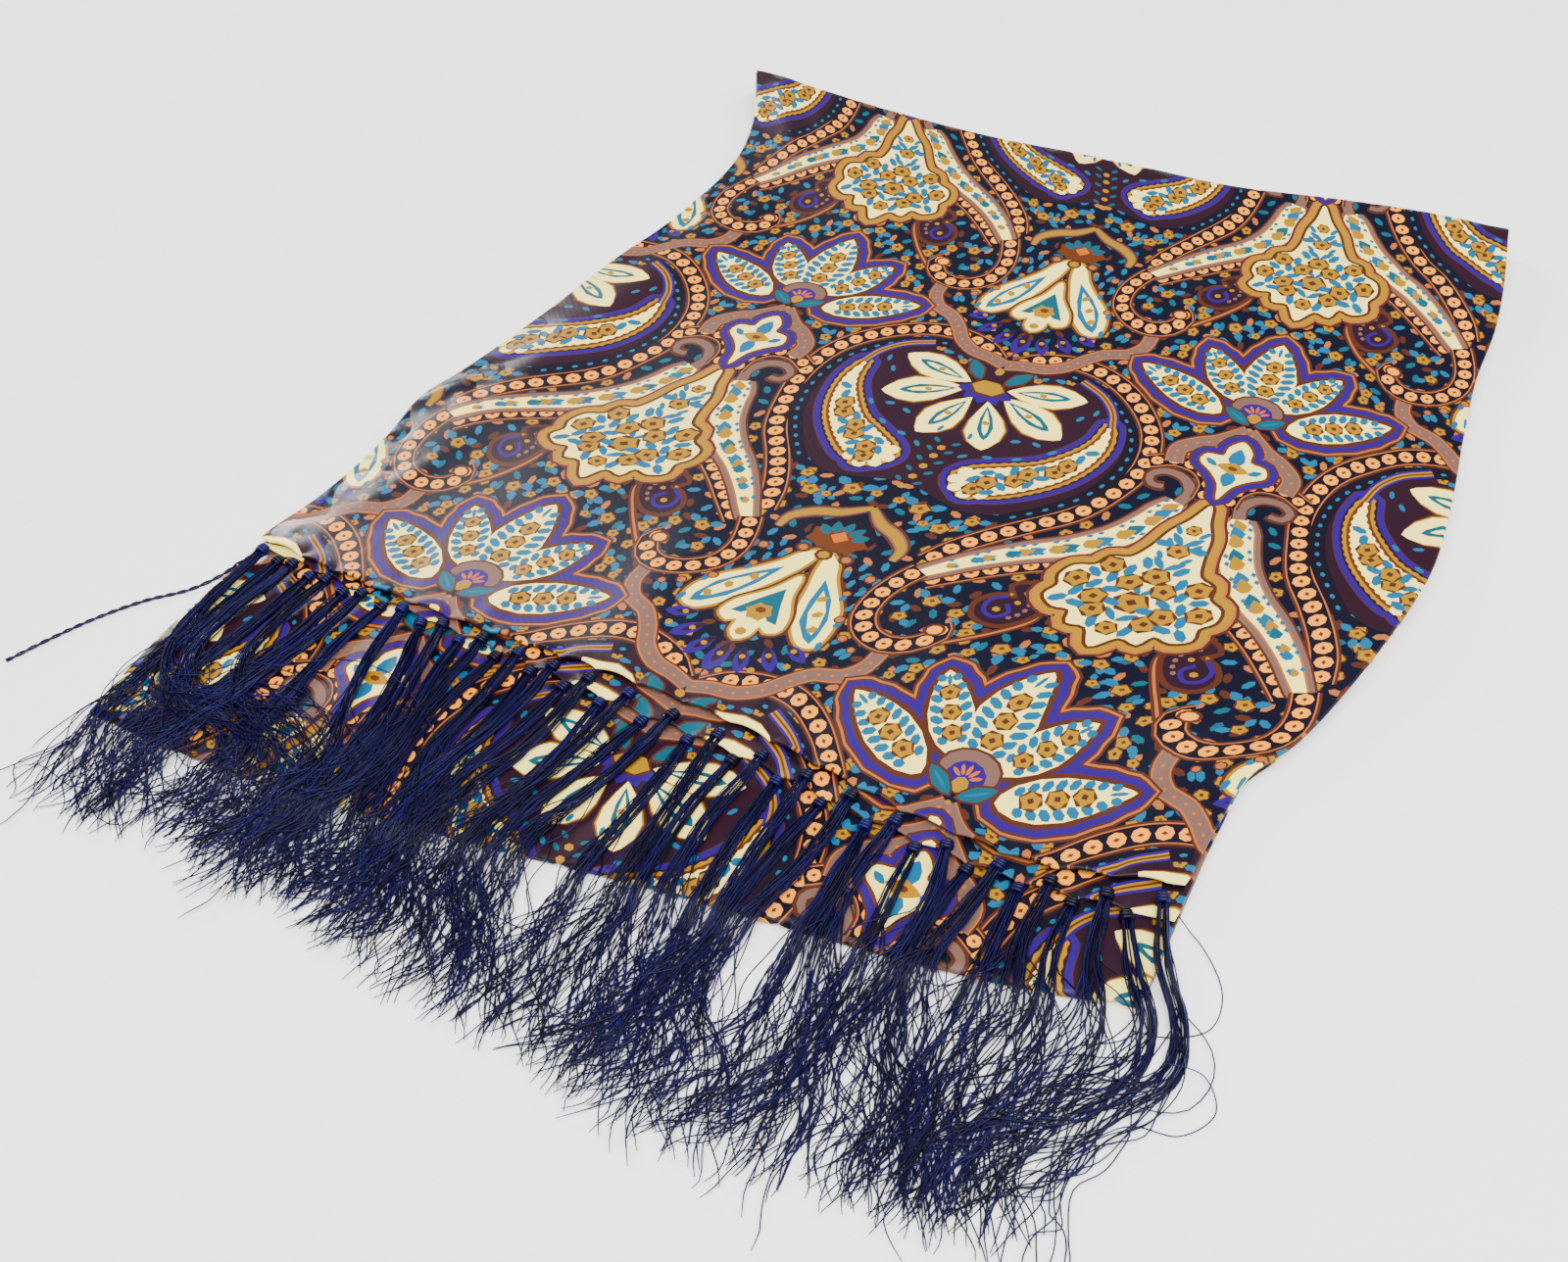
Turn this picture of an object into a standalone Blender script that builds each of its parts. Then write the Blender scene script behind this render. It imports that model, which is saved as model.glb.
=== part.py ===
"""Fringed silk scarf, folded in half twice and laid flat.

The frame: +Z up, the floor at z = 0, the origin on the underside below the middle of the upper hem.
+Y runs along the cloth, away from the fringe, and +X to the right. Sizes below are in millimetres.
"""
import math
from collections import namedtuple

import bmesh
import bpy

MM = 0.001

# Driving sizes
LENGTH = 277.0          # upper hem to far fold
WALL = 1.2              # a stretch of the silk tube: two plies, with the air between them
SECOND_WALL = 1.0
LOWER_HEIGHT = 2.4      # the two hidden stretches together
PLY_GAP = 0.4           # air between one stretch and the next
SEAM_GAP = 0.3          # between the hem and the strip that carries its tufts
FAR_ROLL = 3.2          # how far the far fold bulges past the flat cloth
NOSE = 1.6              # roundness of the near fold
NOSE_PINCH = 0.25       # thickness of its very edge, as a share of the whole
GROOVE = 0.8            # depth of the parting between the two hidden stretches
RIM = 0.4               # how far the upper and lower rims of their sides are rounded in

STRIP_DEPTH = 1.5
STRIP_END = 0.8         # from the middle of a strip's last lock to its end
TUFTS = 20              # knots on the upper hem
END_MARGIN = 0.014      # from the cloth's side to the first tuft, as a share of the width
LOCKS = 3               # locks of thread in a tuft
LOCK_WIDTH = 1.25
LOCK_HEIGHT = 0.9
LOCK_TAPER = 0.55       # width of a lock's tip, as a share of its root's
ROOT_PITCH = 1.6        # from lock to lock at the knot
STRAY_PITCH = -1.3      # the stray lock's place in its tuft, where the others are -1, 0 and 1
TIP_PITCH = 2.15        # from lock to lock at the tips
TIP_CLEARANCE = 0.6     # how far the lying threads stay above the floor
LIE_CLEARANCE = 0.7     # how far they stay above cloth
PAST_HEM = 1.0          # how far past the second hem a thread is let down
FALL = 8.0              # how far past the near fold a thread reaches the floor

SECOND_BASE = LOWER_HEIGHT + PLY_GAP
TOP_BASE = SECOND_BASE + SECOND_WALL + PLY_GAP
TOP_FACE = TOP_BASE + WALL

# How much of a ripple each layer shows: the weight above flattens it further down
TOP_SHARE = 1.0
SECOND_SHARE = 0.75
LOWER_SHARE = 0.55

# The two stretches that end in a hem: the column of their hem's line, their underside and wall
Stretch = namedtuple("Stretch", "layer hem base wall share")
TOP = Stretch("top", "upper", TOP_BASE, WALL, TOP_SHARE)
SECOND = Stretch("second", "second", SECOND_BASE, SECOND_WALL, SECOND_SHARE)

# The outline of the upper stretch, a row for each section along it
Section = namedtuple("Section", "along left right left_lift right_lift")
SECTIONS = (
    Section(-80, -141.0, 140.0, 0.0, 0.0),
    Section(0, -141.0, 140.0, 0.3, 1.0),
    Section(20, -136.5, 140.5, 0.5, 0.6),
    Section(36, -134.5, 142.0, 0.8, 0.4),
    Section(50, -134.0, 148.5, 1.1, 0.5),
    Section(70, -134.5, 154.0, 1.6, 1.0),
    Section(98, -127.5, 159.5, 2.4, 2.0),
    Section(122, -122.0, 161.5, 2.8, 2.2),
    Section(150, -117.5, 158.8, 2.6, 1.6),
    Section(178, -113.5, 154.5, 2.0, 0.6),
    Section(205, -112.0, 151.0, 1.0, 0.2),
    Section(229, -113.0, 150.0, 0.8, 0.4),
    Section(250, -119.0, 147.0, 0.4, 0.2),
    Section(LENGTH, -133.0, 141.0, 0.0, 0.0),
)

# The hems: a row for each place across, from the left (0) to the right (1)
Hem = namedtuple("Hem", "across upper second")
HEMS = (
    Hem(0.00, 0.0, -1.0),
    Hem(0.09, -2.0, -3.6),
    Hem(0.27, -3.0, -6.0),
    Hem(0.44, -2.0, -9.0),
    Hem(0.59, -3.0, -10.5),
    Hem(0.71, -8.0, -14.0),
    Hem(0.80, -10.0, -15.5),
    Hem(0.89, -9.5, -15.0),
    Hem(1.00, -1.0, -10.0),
)

# The far fold: where it lies, and how far its corners puff up
Fold = namedtuple("Fold", "across along lift")
FAR_FOLD = (
    Fold(0.00, 273.8, 6.0),
    Fold(0.10, 273.3, 4.0),
    Fold(0.20, 272.8, 2.0),
    Fold(0.35, 272.3, 0.4),
    Fold(0.50, 273.3, 0.6),
    Fold(0.67, 272.8, 0.8),
    Fold(0.80, 274.8, 3.0),
    Fold(0.90, 275.8, 4.4),
    Fold(1.00, 274.3, 5.5),
)

# The near fold of the two hidden stretches, which lies askew
Near = namedtuple("Near", "across along")
NEAR_FOLD = (
    Near(0.00, -71.0),
    Near(0.15, -70.0),
    Near(0.30, -66.0),
    Near(0.45, -59.5),
    Near(0.60, -52.5),
    Near(0.75, -47.0),
    Near(0.88, -41.0),
    Near(1.00, -33.0),
)

# How far the layers beneath stick out past the upper one, to either side
Peek = namedtuple("Peek", "along second_left second_right lower_left lower_right")
PEEKS = (
    Peek(-75, 0.0, 0.0, 0.5, 1.5),
    Peek(-40, 0.0, 0.0, 2.0, 2.0),
    Peek(-20, -1.0, 1.0, 1.5, 1.4),
    Peek(0, -1.0, 0.8, 1.0, 0.6),
    Peek(25, -1.0, 0.2, 0.4, -0.6),
    Peek(50, -1.2, -1.2, -0.4, -2.2),
    Peek(100, -1.2, -1.4, -0.4, -1.6),
    Peek(LENGTH, -1.2, -1.2, -0.4, -0.6),
)

# The largest ripples: middle, heading in degrees from +X, reach to either side, and height
Ripple = namedtuple("Ripple", "x y heading length width height")
RIPPLES = (
    Ripple(-106, 128, 80, 80, 13, 2.4),
    Ripple(-88, 66, -8, 46, 12, 1.8),
    Ripple(20, 152, 6, 120, 26, 1.5),
    Ripple(-84, 238, -38, 56, 15, 2.4),
    Ripple(118, 112, 158, 52, 17, 2.0),
    Ripple(98, 44, 172, 48, 12, 1.7),
    Ripple(96, 226, 214, 56, 15, 2.2),
    Ripple(-22, 26, 97, 34, 13, 1.5),
    Ripple(58, 22, 84, 30, 12, 1.4),
    Ripple(10, 218, -12, 70, 18, 1.3),
    Ripple(-96, -38, 12, 60, 12, 1.2),
    Ripple(40, -30, 4, 64, 10, 1.0),
)

# How the fringe is combed: where a thread lies across, by its place on the hem and its drop
Comb = namedtuple("Comb", "across root drop_25 drop_50 drop_75 drop_100")
COMB_DROPS = (0.0, 25.0, 50.0, 75.0, 100.0)
COMBS = (
    Comb(0.0, -141.0, -143.0, -142.0, -139.0, -137.0),
    Comb(0.1, -113.0, -120.0, -121.0, -113.0, -107.0),
    Comb(0.2, -85.0, -91.0, -95.0, -90.0, -84.0),
    Comb(0.3, -57.0, -62.0, -67.0, -66.0, -61.0),
    Comb(0.4, -29.0, -34.0, -39.0, -40.0, -36.0),
    Comb(0.5, -1.0, -5.0, -9.0, -11.0, -8.0),
    Comb(0.6, 27.0, 25.0, 23.0, 22.0, 23.0),
    Comb(0.7, 55.0, 54.0, 54.0, 54.0, 54.0),
    Comb(0.8, 83.0, 83.0, 84.0, 85.0, 84.0),
    Comb(0.9, 111.0, 113.0, 114.5, 113.5, 112.5),
    Comb(1.0, 139.0, 149.5, 149.5, 140.5, 136.5),
)

Dropped = namedtuple("Dropped", "drop place")

Tip = namedtuple("Tip", "across along")
TIPS = (
    Tip(0.00, -96.0),
    Tip(0.10, -95.5),
    Tip(0.20, -93.0),
    Tip(0.33, -95.5),
    Tip(0.45, -99.0),
    Tip(0.60, -103.5),
    Tip(0.70, -107.5),
    Tip(0.80, -102.5),
    Tip(0.90, -100.0),
    Tip(1.00, -94.0),
)

# The lock of the leftmost tuft that strays off over the floor: where its underside lies
Stray = namedtuple("Stray", "x y under share")
STRAY_LOCK = (
    Stray(-143.0, -10.0, 3.3, 0.15),
    Stray(-150.0, -23.0, TIP_CLEARANCE, 0.3),
    Stray(-159.0, -31.0, TIP_CLEARANCE, 0.5),
    Stray(-167.0, -42.0, TIP_CLEARANCE, 0.65),
    Stray(-173.0, -53.0, TIP_CLEARANCE, 0.8),
    Stray(-180.0, -67.0, TIP_CLEARANCE, 1.0),
)

EDGE_REACH = 0.16       # share of the width over which a lifted edge falls back
FAR_REACH = 60.0        # distance over which the puffed far corners fall back

TOP_COLUMNS, TOP_ROWS, ROLL_ROWS = 26, 24, 6
SECOND_COLUMNS, SECOND_ROWS = 20, 16
LOWER_COLUMNS, LOWER_ROWS = 22, 22
NOSE_ROWS = (0.15, 0.5, 1.0)            # rows over the near fold, as shares of its roundness
SIDE_LEVELS = {0.0: RIM, 0.25: 0.0, 0.5: GROOVE, 0.75: 0.0, 1.0: RIM}
HEM_WIDTH = COMBS[-1].root - COMBS[0].root
TUFT_SPACING = (1.0 - 2 * END_MARGIN) / (TUFTS - 1)

SILK_COLOUR = (0.115, 0.065, 0.05, 1.0)
SHADED_SILK_COLOUR = (0.075, 0.042, 0.035, 1.0)
FRINGE_COLOUR = (0.008, 0.008, 0.04, 1.0)


def curve(rows, column, at):
    """Read a column of a table at a place between its rows, on a smooth curve through them."""
    last = len(rows) - 1
    index = next((i for i in range(last) if at <= rows[i + 1][0]), last - 1)
    here, there = rows[index], rows[index + 1]
    before, after = rows[max(index - 1, 0)], rows[min(index + 2, last)]
    span = there[0] - here[0]
    share = min(max((at - here[0]) / span, 0.0), 1.0)
    start, end = getattr(here, column), getattr(there, column)
    rise_in = (end - getattr(before, column)) / (there[0] - before[0]) * span
    rise_out = (getattr(after, column) - start) / (after[0] - here[0]) * span
    square, cube = share**2, share**3
    return (
        (2 * cube - 3 * square + 1) * start
        + (cube - 2 * square + share) * rise_in
        + (3 * square - 2 * cube) * end
        + (cube - square) * rise_out
    )


def fade(distance, reach):
    """1 at no distance, falling softly to 0 at the reach."""
    return max(1.0 - distance / reach, 0.0) ** 2


def ripple_height(x, y):
    """The ripples in the upper stretch, as soft ridges."""
    total = 0.0
    for ripple in RIPPLES:
        turn = math.radians(ripple.heading)
        along = (x - ripple.x) * math.cos(turn) + (y - ripple.y) * math.sin(turn)
        aside = (y - ripple.y) * math.cos(turn) - (x - ripple.x) * math.sin(turn)
        total += ripple.height * math.exp(-((along / ripple.length) ** 2) - (aside / ripple.width) ** 2)
    return total


def side(layer, hand, along):
    """Where a layer's left or right edge lies."""
    edge = curve(SECTIONS, hand, along)
    if layer == "top":
        return edge
    out = curve(PEEKS, f"{layer}_{hand}", along)
    return edge - out if hand == "left" else edge + out


def across_to_x(layer, across, along):
    left = side(layer, "left", along)
    return left + across * (side(layer, "right", along) - left)


def lift(x, y):
    """How far the upper stretch rises above flat, from its ripples, edges and far corners."""
    left, right = side("top", "left", y), side("top", "right", y)
    across = min(max((x - left) / (right - left), 0.0), 1.0)
    total = ripple_height(x, y)
    total += curve(SECTIONS, "left_lift", y) * fade(across, EDGE_REACH)
    total += curve(SECTIONS, "right_lift", y) * fade(1.0 - across, EDGE_REACH)
    total += curve(FAR_FOLD, "lift", across) * fade(max(LENGTH - FAR_ROLL - y, 0.0), FAR_REACH)
    return total


def hem_line(stretch, across):
    return curve(HEMS, stretch.hem, across)


def near_fold(across):
    return curve(NEAR_FOLD, "along", across)


def far_fold(across):
    return curve(FAR_FOLD, "along", across)


def between(start, end, share):
    return start + share * (end - start)


def stretch_face(stretch, x, y):
    """The upper face of a stretch."""
    return stretch.base + stretch.wall + stretch.share * lift(x, y)


def lower_face(x, y):
    """The upper face of the hidden stretches, away from their round near fold."""
    return LOWER_HEIGHT + LOWER_SHARE * lift(x, y)


def make_material(name, colour, roughness):
    material = bpy.data.materials.new(name)
    material.use_nodes = True
    shader = material.node_tree.nodes["Principled BSDF"]
    shader.inputs["Base Color"].default_value = colour
    shader.inputs["Roughness"].default_value = roughness
    shader.inputs["Metallic"].default_value = 0.0
    shader.inputs["Sheen Weight"].default_value = 0.3
    return material


def finish(name, mesh_data, collection, material):
    """Turn a bmesh into a named object with its material."""
    if not any(edge.is_boundary for edge in mesh_data.edges):
        bmesh.ops.recalc_face_normals(mesh_data, faces=mesh_data.faces)
    mesh = bpy.data.meshes.new(name)
    mesh_data.to_mesh(mesh)
    mesh_data.free()
    mesh.shade_smooth()
    mesh.set_sharp_from_angle(angle=math.radians(50))
    mesh.materials.append(material)
    thing = bpy.data.objects.new(name, mesh)
    collection.objects.link(thing)
    return thing


def unit_sheet(columns, rows):
    """A flat grid from 0 to 1 each way, with its normals up."""
    sheet = bmesh.new()
    bmesh.ops.create_grid(sheet, x_segments=columns, y_segments=rows, size=0.5)
    bmesh.ops.translate(sheet, verts=sheet.verts, vec=(0.5, 0.5, 0.0))
    return sheet


def cut(block, axis, places):
    """Cut a block across one axis at each of the places."""
    for place in places:
        point, normal = [0.0, 0.0, 0.0], [0.0, 0.0, 0.0]
        point[axis], normal[axis] = place, 1.0
        geometry = block.verts[:] + block.edges[:] + block.faces[:]
        bmesh.ops.bisect_plane(block, geom=geometry, plane_co=point, plane_no=normal)


def unit_block():
    block = bmesh.new()
    bmesh.ops.create_cube(block, size=1.0)
    bmesh.ops.translate(block, verts=block.verts, vec=(0.5, 0.5, 0.5))
    return block


def add_wall(thing, thickness):
    """Thicken a sheet inwards, away from its outer face."""
    solidify = thing.modifiers.new("wall", "SOLIDIFY")
    solidify.thickness = thickness * MM
    solidify.offset = -1.0
    solidify.use_even_offset = True


def build_stretch(stretch, columns, rows, roll_rows, collection):
    """A stretch from its hem to the far fold. With roll rows it rolls round that to the floor."""
    sheet = unit_sheet(columns, rows + roll_rows)
    for vert in sheet.verts:
        across = vert.co.x
        step = vert.co.y * (rows + roll_rows)
        fold = far_fold(across)
        y = between(hem_line(stretch, across), fold, min(step / rows, 1.0))
        x = across_to_x(stretch.layer, across, y)
        z = stretch_face(stretch, x, y)
        if step > rows:
            turn = math.pi * (step - rows) / roll_rows
            y = fold + FAR_ROLL * math.sin(turn)
            z = 0.5 * z * (1.0 + math.cos(turn))
        vert.co = x * MM, y * MM, z * MM
    colour = SILK_COLOUR if stretch is TOP else SHADED_SILK_COLOUR
    name = f"{stretch.layer}_stretch"
    thing = finish(name, sheet, collection, make_material(f"{name}_silk", colour, 0.45))
    add_wall(thing, stretch.wall)


def build_lower_fold(collection):
    """The two hidden stretches: one solid with a round near fold and a groove along its sides."""
    block = unit_block()
    length = LENGTH - near_fold(0.5)
    cut(block, 0, [i / LOWER_COLUMNS for i in range(1, LOWER_COLUMNS)])
    cut(block, 1, [share * NOSE / length for share in NOSE_ROWS])
    cut(block, 1, [i / LOWER_ROWS for i in range(1, LOWER_ROWS)])
    cut(block, 2, [0.25, 0.5, 0.75])
    for vert in block.verts:
        across, share, level = vert.co
        near = near_fold(across)
        y = between(near, far_fold(across) - 2 * SEAM_GAP, share)
        x = across_to_x("lower", across, y)
        if across in (0.0, 1.0):
            x += SIDE_LEVELS[level] * (1.0 if across == 0.0 else -1.0)
        past_fold = min((y - near) / NOSE, 1.0)
        plump = between(NOSE_PINCH, 1.0, math.sqrt(1.0 - (1.0 - past_fold) ** 2))
        z = lower_face(x, y) * (0.5 + (level - 0.5) * plump)
        vert.co = x * MM, y * MM, z * MM
    finish("lower_fold", block, collection, make_material("lower_silk", SHADED_SILK_COLOUR, 0.5))


def comb(across, drop):
    """Where a thread from this place on the hem lies across, at this drop below it."""
    rows = [(at, curve(COMBS, column, across)) for at, column in zip(COMB_DROPS, Comb._fields[1:])]
    return curve([Dropped(*row) for row in rows], "place", drop)


def lock_stations(stretch, across, pitch_share):
    """A lock's middle line, from the knot to the tip: its place, underside and share of the way.

    pitch_share is its place in the tuft, from -1 to 1, and the tuft fans out towards the tips.
    """
    hem = hem_line(TOP, across) - SEAM_GAP - STRIP_DEPTH
    let_down = min(hem_line(SECOND, across) - SEAM_GAP - STRIP_DEPTH - PAST_HEM, hem - 3 * PAST_HEM)
    fold, tip = near_fold(across), curve(TIPS, "along", across)
    levels = (
        let_down,
        between(let_down, fold, 0.5),
        fold + NOSE,
        fold - FALL,
        between(fold - FALL, tip, 0.5),
        tip,
    )
    stations = []
    for y in levels:
        share = (hem - y) / (hem - tip)
        fan = pitch_share * between(ROOT_PITCH, TIP_PITCH, share) / HEM_WIDTH
        x = comb(across + fan, hem - y)
        under = TIP_CLEARANCE
        if y == let_down and stretch is TOP:
            under = stretch_face(SECOND, x, y) + LIE_CLEARANCE
        elif y > fold:
            under = lower_face(x, y) + LIE_CLEARANCE
        stations.append((x, y, under, share))
    return stations


def grow_lock(strip, face, stations):
    """Draw a face of the strip out into a tapering lock, one extrusion for each station."""
    middle = face.calc_center_median() / MM
    before = (middle.x, middle.y)
    for number, (x, y, under, share) in enumerate(stations):
        after = stations[min(number + 1, len(stations) - 1)][:2]
        heading = math.atan2(after[1] - before[1], after[0] - before[0])
        aside_x, aside_y = math.sin(heading), -math.cos(heading)
        taper = 1.0 + share * (LOCK_TAPER - 1.0)
        sides = [(vert.co.x / MM > middle.x, vert.co.z / MM > middle.z) for vert in face.verts]
        grown = bmesh.ops.extrude_discrete_faces(strip, faces=[face])["faces"][0]
        for vert, (to_right, is_high) in zip(grown.verts, sides):
            offset = 0.5 * LOCK_WIDTH * taper * (-1.0 if to_right else 1.0)
            height = under + (LOCK_HEIGHT * taper if is_high else 0.0)
            vert.co = (x + aside_x * offset) * MM, (y + aside_y * offset) * MM, height * MM
        face = grown
        middle = face.calc_center_median() / MM
        before = (x, y)


def tuft_roots(stretch):
    """The locks of a row of tufts: each tuft's place on the hem, and the lock's place in it.

    The first lock of the upper row is the one that strays, and it has a strip of its own.
    """
    is_top = stretch is TOP
    first = END_MARGIN if is_top else END_MARGIN + TUFT_SPACING / 2
    tufts = TUFTS if is_top else TUFTS - 1
    roots = [
        (first + tuft * TUFT_SPACING, lock - 0.5 * (LOCKS - 1))
        for tuft in range(tufts)
        for lock in range(LOCKS)
    ]
    return roots[1:] if is_top else roots


def build_fringe(name, stretch, roots, collection, route=None):
    """Locks that grow out of a narrow strip, just off the hem, down the comb or along a route."""
    half = 0.5 * LOCK_WIDTH / HEM_WIDTH
    centres = [across + pitch_share * ROOT_PITCH / HEM_WIDTH for across, pitch_share in roots]
    start, end = centres[0] - STRIP_END / HEM_WIDTH, centres[-1] + STRIP_END / HEM_WIDTH
    strip = unit_block()
    for centre in centres:
        cut(strip, 0, [(centre + edge - start) / (end - start) for edge in (-half, half)])
    for vert in strip.verts:
        across = between(start, end, vert.co.x)
        hem = hem_line(stretch, across)
        y = hem - SEAM_GAP - STRIP_DEPTH * (1.0 - vert.co.y)
        x = across_to_x(stretch.layer, across, hem)
        z = stretch_face(stretch, x, y) - stretch.wall * (1.0 - vert.co.z)
        vert.co = x * MM, y * MM, z * MM
    strip.normal_update()
    fronts = [face for face in strip.faces if face.normal.y < -0.7]
    for (across, pitch_share), centre in zip(roots, centres):
        x = across_to_x(stretch.layer, centre, hem_line(stretch, centre))
        face = min(fronts, key=lambda front: abs(front.calc_center_median().x / MM - x))
        fronts.remove(face)
        grow_lock(strip, face, route or lock_stations(stretch, across, pitch_share))
    finish(name, strip, collection, make_material(f"{name}_thread", FRINGE_COLOUR, 0.5))


def build():
    for thing in list(bpy.data.objects):
        bpy.data.objects.remove(thing)
    scarf = bpy.data.collections.new("fringed_scarf")
    bpy.context.scene.collection.children.link(scarf)
    build_lower_fold(scarf)
    build_stretch(SECOND, SECOND_COLUMNS, SECOND_ROWS, 0, scarf)
    build_stretch(TOP, TOP_COLUMNS, TOP_ROWS, ROLL_ROWS, scarf)
    build_fringe("top_fringe", TOP, tuft_roots(TOP), scarf)
    build_fringe("second_fringe", SECOND, tuft_roots(SECOND), scarf)
    build_fringe("stray_lock", TOP, [(END_MARGIN, STRAY_PITCH)], scarf, STRAY_LOCK)


build()
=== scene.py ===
# %% [markdown]
# # A fringed silk scarf, folded and laid flat
#
# A dress scarf is a tube: one long piece of thin printed silk, sewn up along one side and pressed
# flat, so that it has the print on both faces and no raw edge. A row of knotted tufts closes each end.
# Here it lies folded in half twice. The upper hem and its fringe face us, the other hem peeps out just
# beneath it, and a smooth fold sticks out under both.
#
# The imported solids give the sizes. This script puts the looks around them: the print, the drape, the
# rolled edges and the fine thread.

# %% The frame that everything is built around
import math
from collections import namedtuple

import bpy
import numpy as np
from mathutils import Matrix, Vector
from mathutils.geometry import delaunay_2d_cdt


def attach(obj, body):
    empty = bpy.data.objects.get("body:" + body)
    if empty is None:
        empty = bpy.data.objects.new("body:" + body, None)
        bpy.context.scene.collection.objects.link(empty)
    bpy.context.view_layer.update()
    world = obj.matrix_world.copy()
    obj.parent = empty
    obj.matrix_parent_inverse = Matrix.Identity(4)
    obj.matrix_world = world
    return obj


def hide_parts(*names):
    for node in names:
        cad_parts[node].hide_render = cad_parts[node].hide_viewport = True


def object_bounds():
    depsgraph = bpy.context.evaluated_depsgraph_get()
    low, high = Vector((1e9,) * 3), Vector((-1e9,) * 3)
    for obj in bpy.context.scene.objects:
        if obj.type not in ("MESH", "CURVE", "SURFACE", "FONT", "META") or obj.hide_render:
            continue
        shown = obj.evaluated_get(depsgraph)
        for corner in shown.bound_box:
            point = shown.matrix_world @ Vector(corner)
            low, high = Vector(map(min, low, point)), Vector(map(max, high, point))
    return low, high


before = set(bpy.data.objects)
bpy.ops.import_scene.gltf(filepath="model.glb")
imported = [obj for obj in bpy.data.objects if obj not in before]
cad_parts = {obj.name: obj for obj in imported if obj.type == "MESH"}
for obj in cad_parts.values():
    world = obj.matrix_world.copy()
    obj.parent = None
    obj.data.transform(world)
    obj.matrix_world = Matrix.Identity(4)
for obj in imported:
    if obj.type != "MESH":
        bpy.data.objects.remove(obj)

MM = 0.001
cad_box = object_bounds()
cad_size = [(high - low) / MM for low, high in zip(*cad_box)]
print("solids, mm:", [round(size, 1) for size in cad_size])

# %% [markdown]
# ## The camera
#
# A photograph of a flat rectangle tells where the camera stood: the far side looks shorter than the
# near one. The place and the three turns below were found by fitting the scarf's four corners. The
# near corner is about 0.4 m from the lens, so the perspective is strong, and a longer lens from further
# off would give another picture.

# %% The camera
VIEW_PLACE = (204.0, -242.9, 349.1)     # millimetres, in the frame of the solids
VIEW_HEADING = -0.600                   # radians, turned from +Y towards -X
VIEW_DIP = 0.802                        # below level
VIEW_ROLL = -0.122
IMAGE_WIDTH = 1600
FOCAL_PIXELS = 1839.067
SENSOR = 36.0

ahead = Vector((
    math.sin(VIEW_HEADING) * math.cos(VIEW_DIP),
    math.cos(VIEW_HEADING) * math.cos(VIEW_DIP),
    -math.sin(VIEW_DIP),
))
level_right = Vector((math.cos(VIEW_HEADING), -math.sin(VIEW_HEADING), 0.0))
level_up = level_right.cross(ahead)
view_right = level_right * math.cos(VIEW_ROLL) + level_up * math.sin(VIEW_ROLL)
view_up = level_up * math.cos(VIEW_ROLL) - level_right * math.sin(VIEW_ROLL)

bpy.ops.object.select_all(action="DESELECT")
bpy.ops.object.camera_add(location=[place * MM for place in VIEW_PLACE])
camera = bpy.context.object
camera.name = "camera"
camera.rotation_euler = Matrix((view_right, view_up, -ahead)).transposed().to_euler()
camera.data.sensor_width = SENSOR
camera.data.lens = FOCAL_PIXELS / IMAGE_WIDTH * SENSOR
camera.data.clip_start = 0.01
bpy.context.scene.camera = camera
print("lens, mm:", round(camera.data.lens, 1))

# %% [markdown]
# ## The form of the folded cloth
#
# The same tables shape the solids. Each row is a place on the cloth and what is measured there, in
# millimetres, and a smooth curve runs through the rows. Nothing here is one number per point, so a
# fold can be moved by changing one row.

# %% Sizes and tables of the form
LENGTH = 277.0          # upper hem to far fold
FAR_ROLL = 3.2          # how far the far fold bulges past the flat cloth
NOSE = 1.6              # roundness of the near fold
FOLD_GAP = 0.6          # between the far ends of the hidden layers and the cloth that rolls round them
EDGE_REACH = 0.16       # share of the width over which a lifted edge falls back
FAR_REACH = 60.0        # distance over which the puffed far corners fall back
LOWER_HEIGHT = 2.4      # the two hidden stretches together
PLY_GAP = 0.4
SECOND_WALL = 1.0
TOP_WALL = 1.2
SECOND_BASE = LOWER_HEIGHT + PLY_GAP
TOP_BASE = SECOND_BASE + SECOND_WALL + PLY_GAP
TOP_SHARE = 1.0         # how much of a ripple each layer shows
SECOND_SHARE = 0.75
LOWER_SHARE = 0.55

Section = namedtuple("Section", "along left right left_lift right_lift")
SECTIONS = (
    Section(-80, -141.0, 140.0, 0.0, 0.0),
    Section(0, -141.0, 140.0, 0.3, 1.0),
    Section(20, -136.5, 140.5, 0.5, 0.6),
    Section(36, -134.5, 142.0, 0.8, 0.4),
    Section(50, -134.0, 148.5, 1.1, 0.5),
    Section(70, -134.5, 154.0, 1.6, 1.0),
    Section(98, -127.5, 159.5, 2.4, 2.0),
    Section(122, -122.0, 161.5, 2.8, 2.2),
    Section(150, -117.5, 158.8, 2.6, 1.6),
    Section(178, -113.5, 154.5, 2.0, 0.6),
    Section(205, -112.0, 151.0, 1.0, 0.2),
    Section(229, -113.0, 150.0, 0.8, 0.4),
    Section(250, -119.0, 147.0, 0.4, 0.2),
    Section(LENGTH, -133.0, 141.0, 0.0, 0.0),
)

Hem = namedtuple("Hem", "across upper second")
HEMS = (
    Hem(0.00, 0.0, -1.0),
    Hem(0.09, -2.0, -3.6),
    Hem(0.27, -3.0, -6.0),
    Hem(0.44, -2.0, -9.0),
    Hem(0.59, -3.0, -10.5),
    Hem(0.71, -8.0, -14.0),
    Hem(0.80, -10.0, -15.5),
    Hem(0.89, -9.5, -15.0),
    Hem(1.00, -1.0, -10.0),
)

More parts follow.
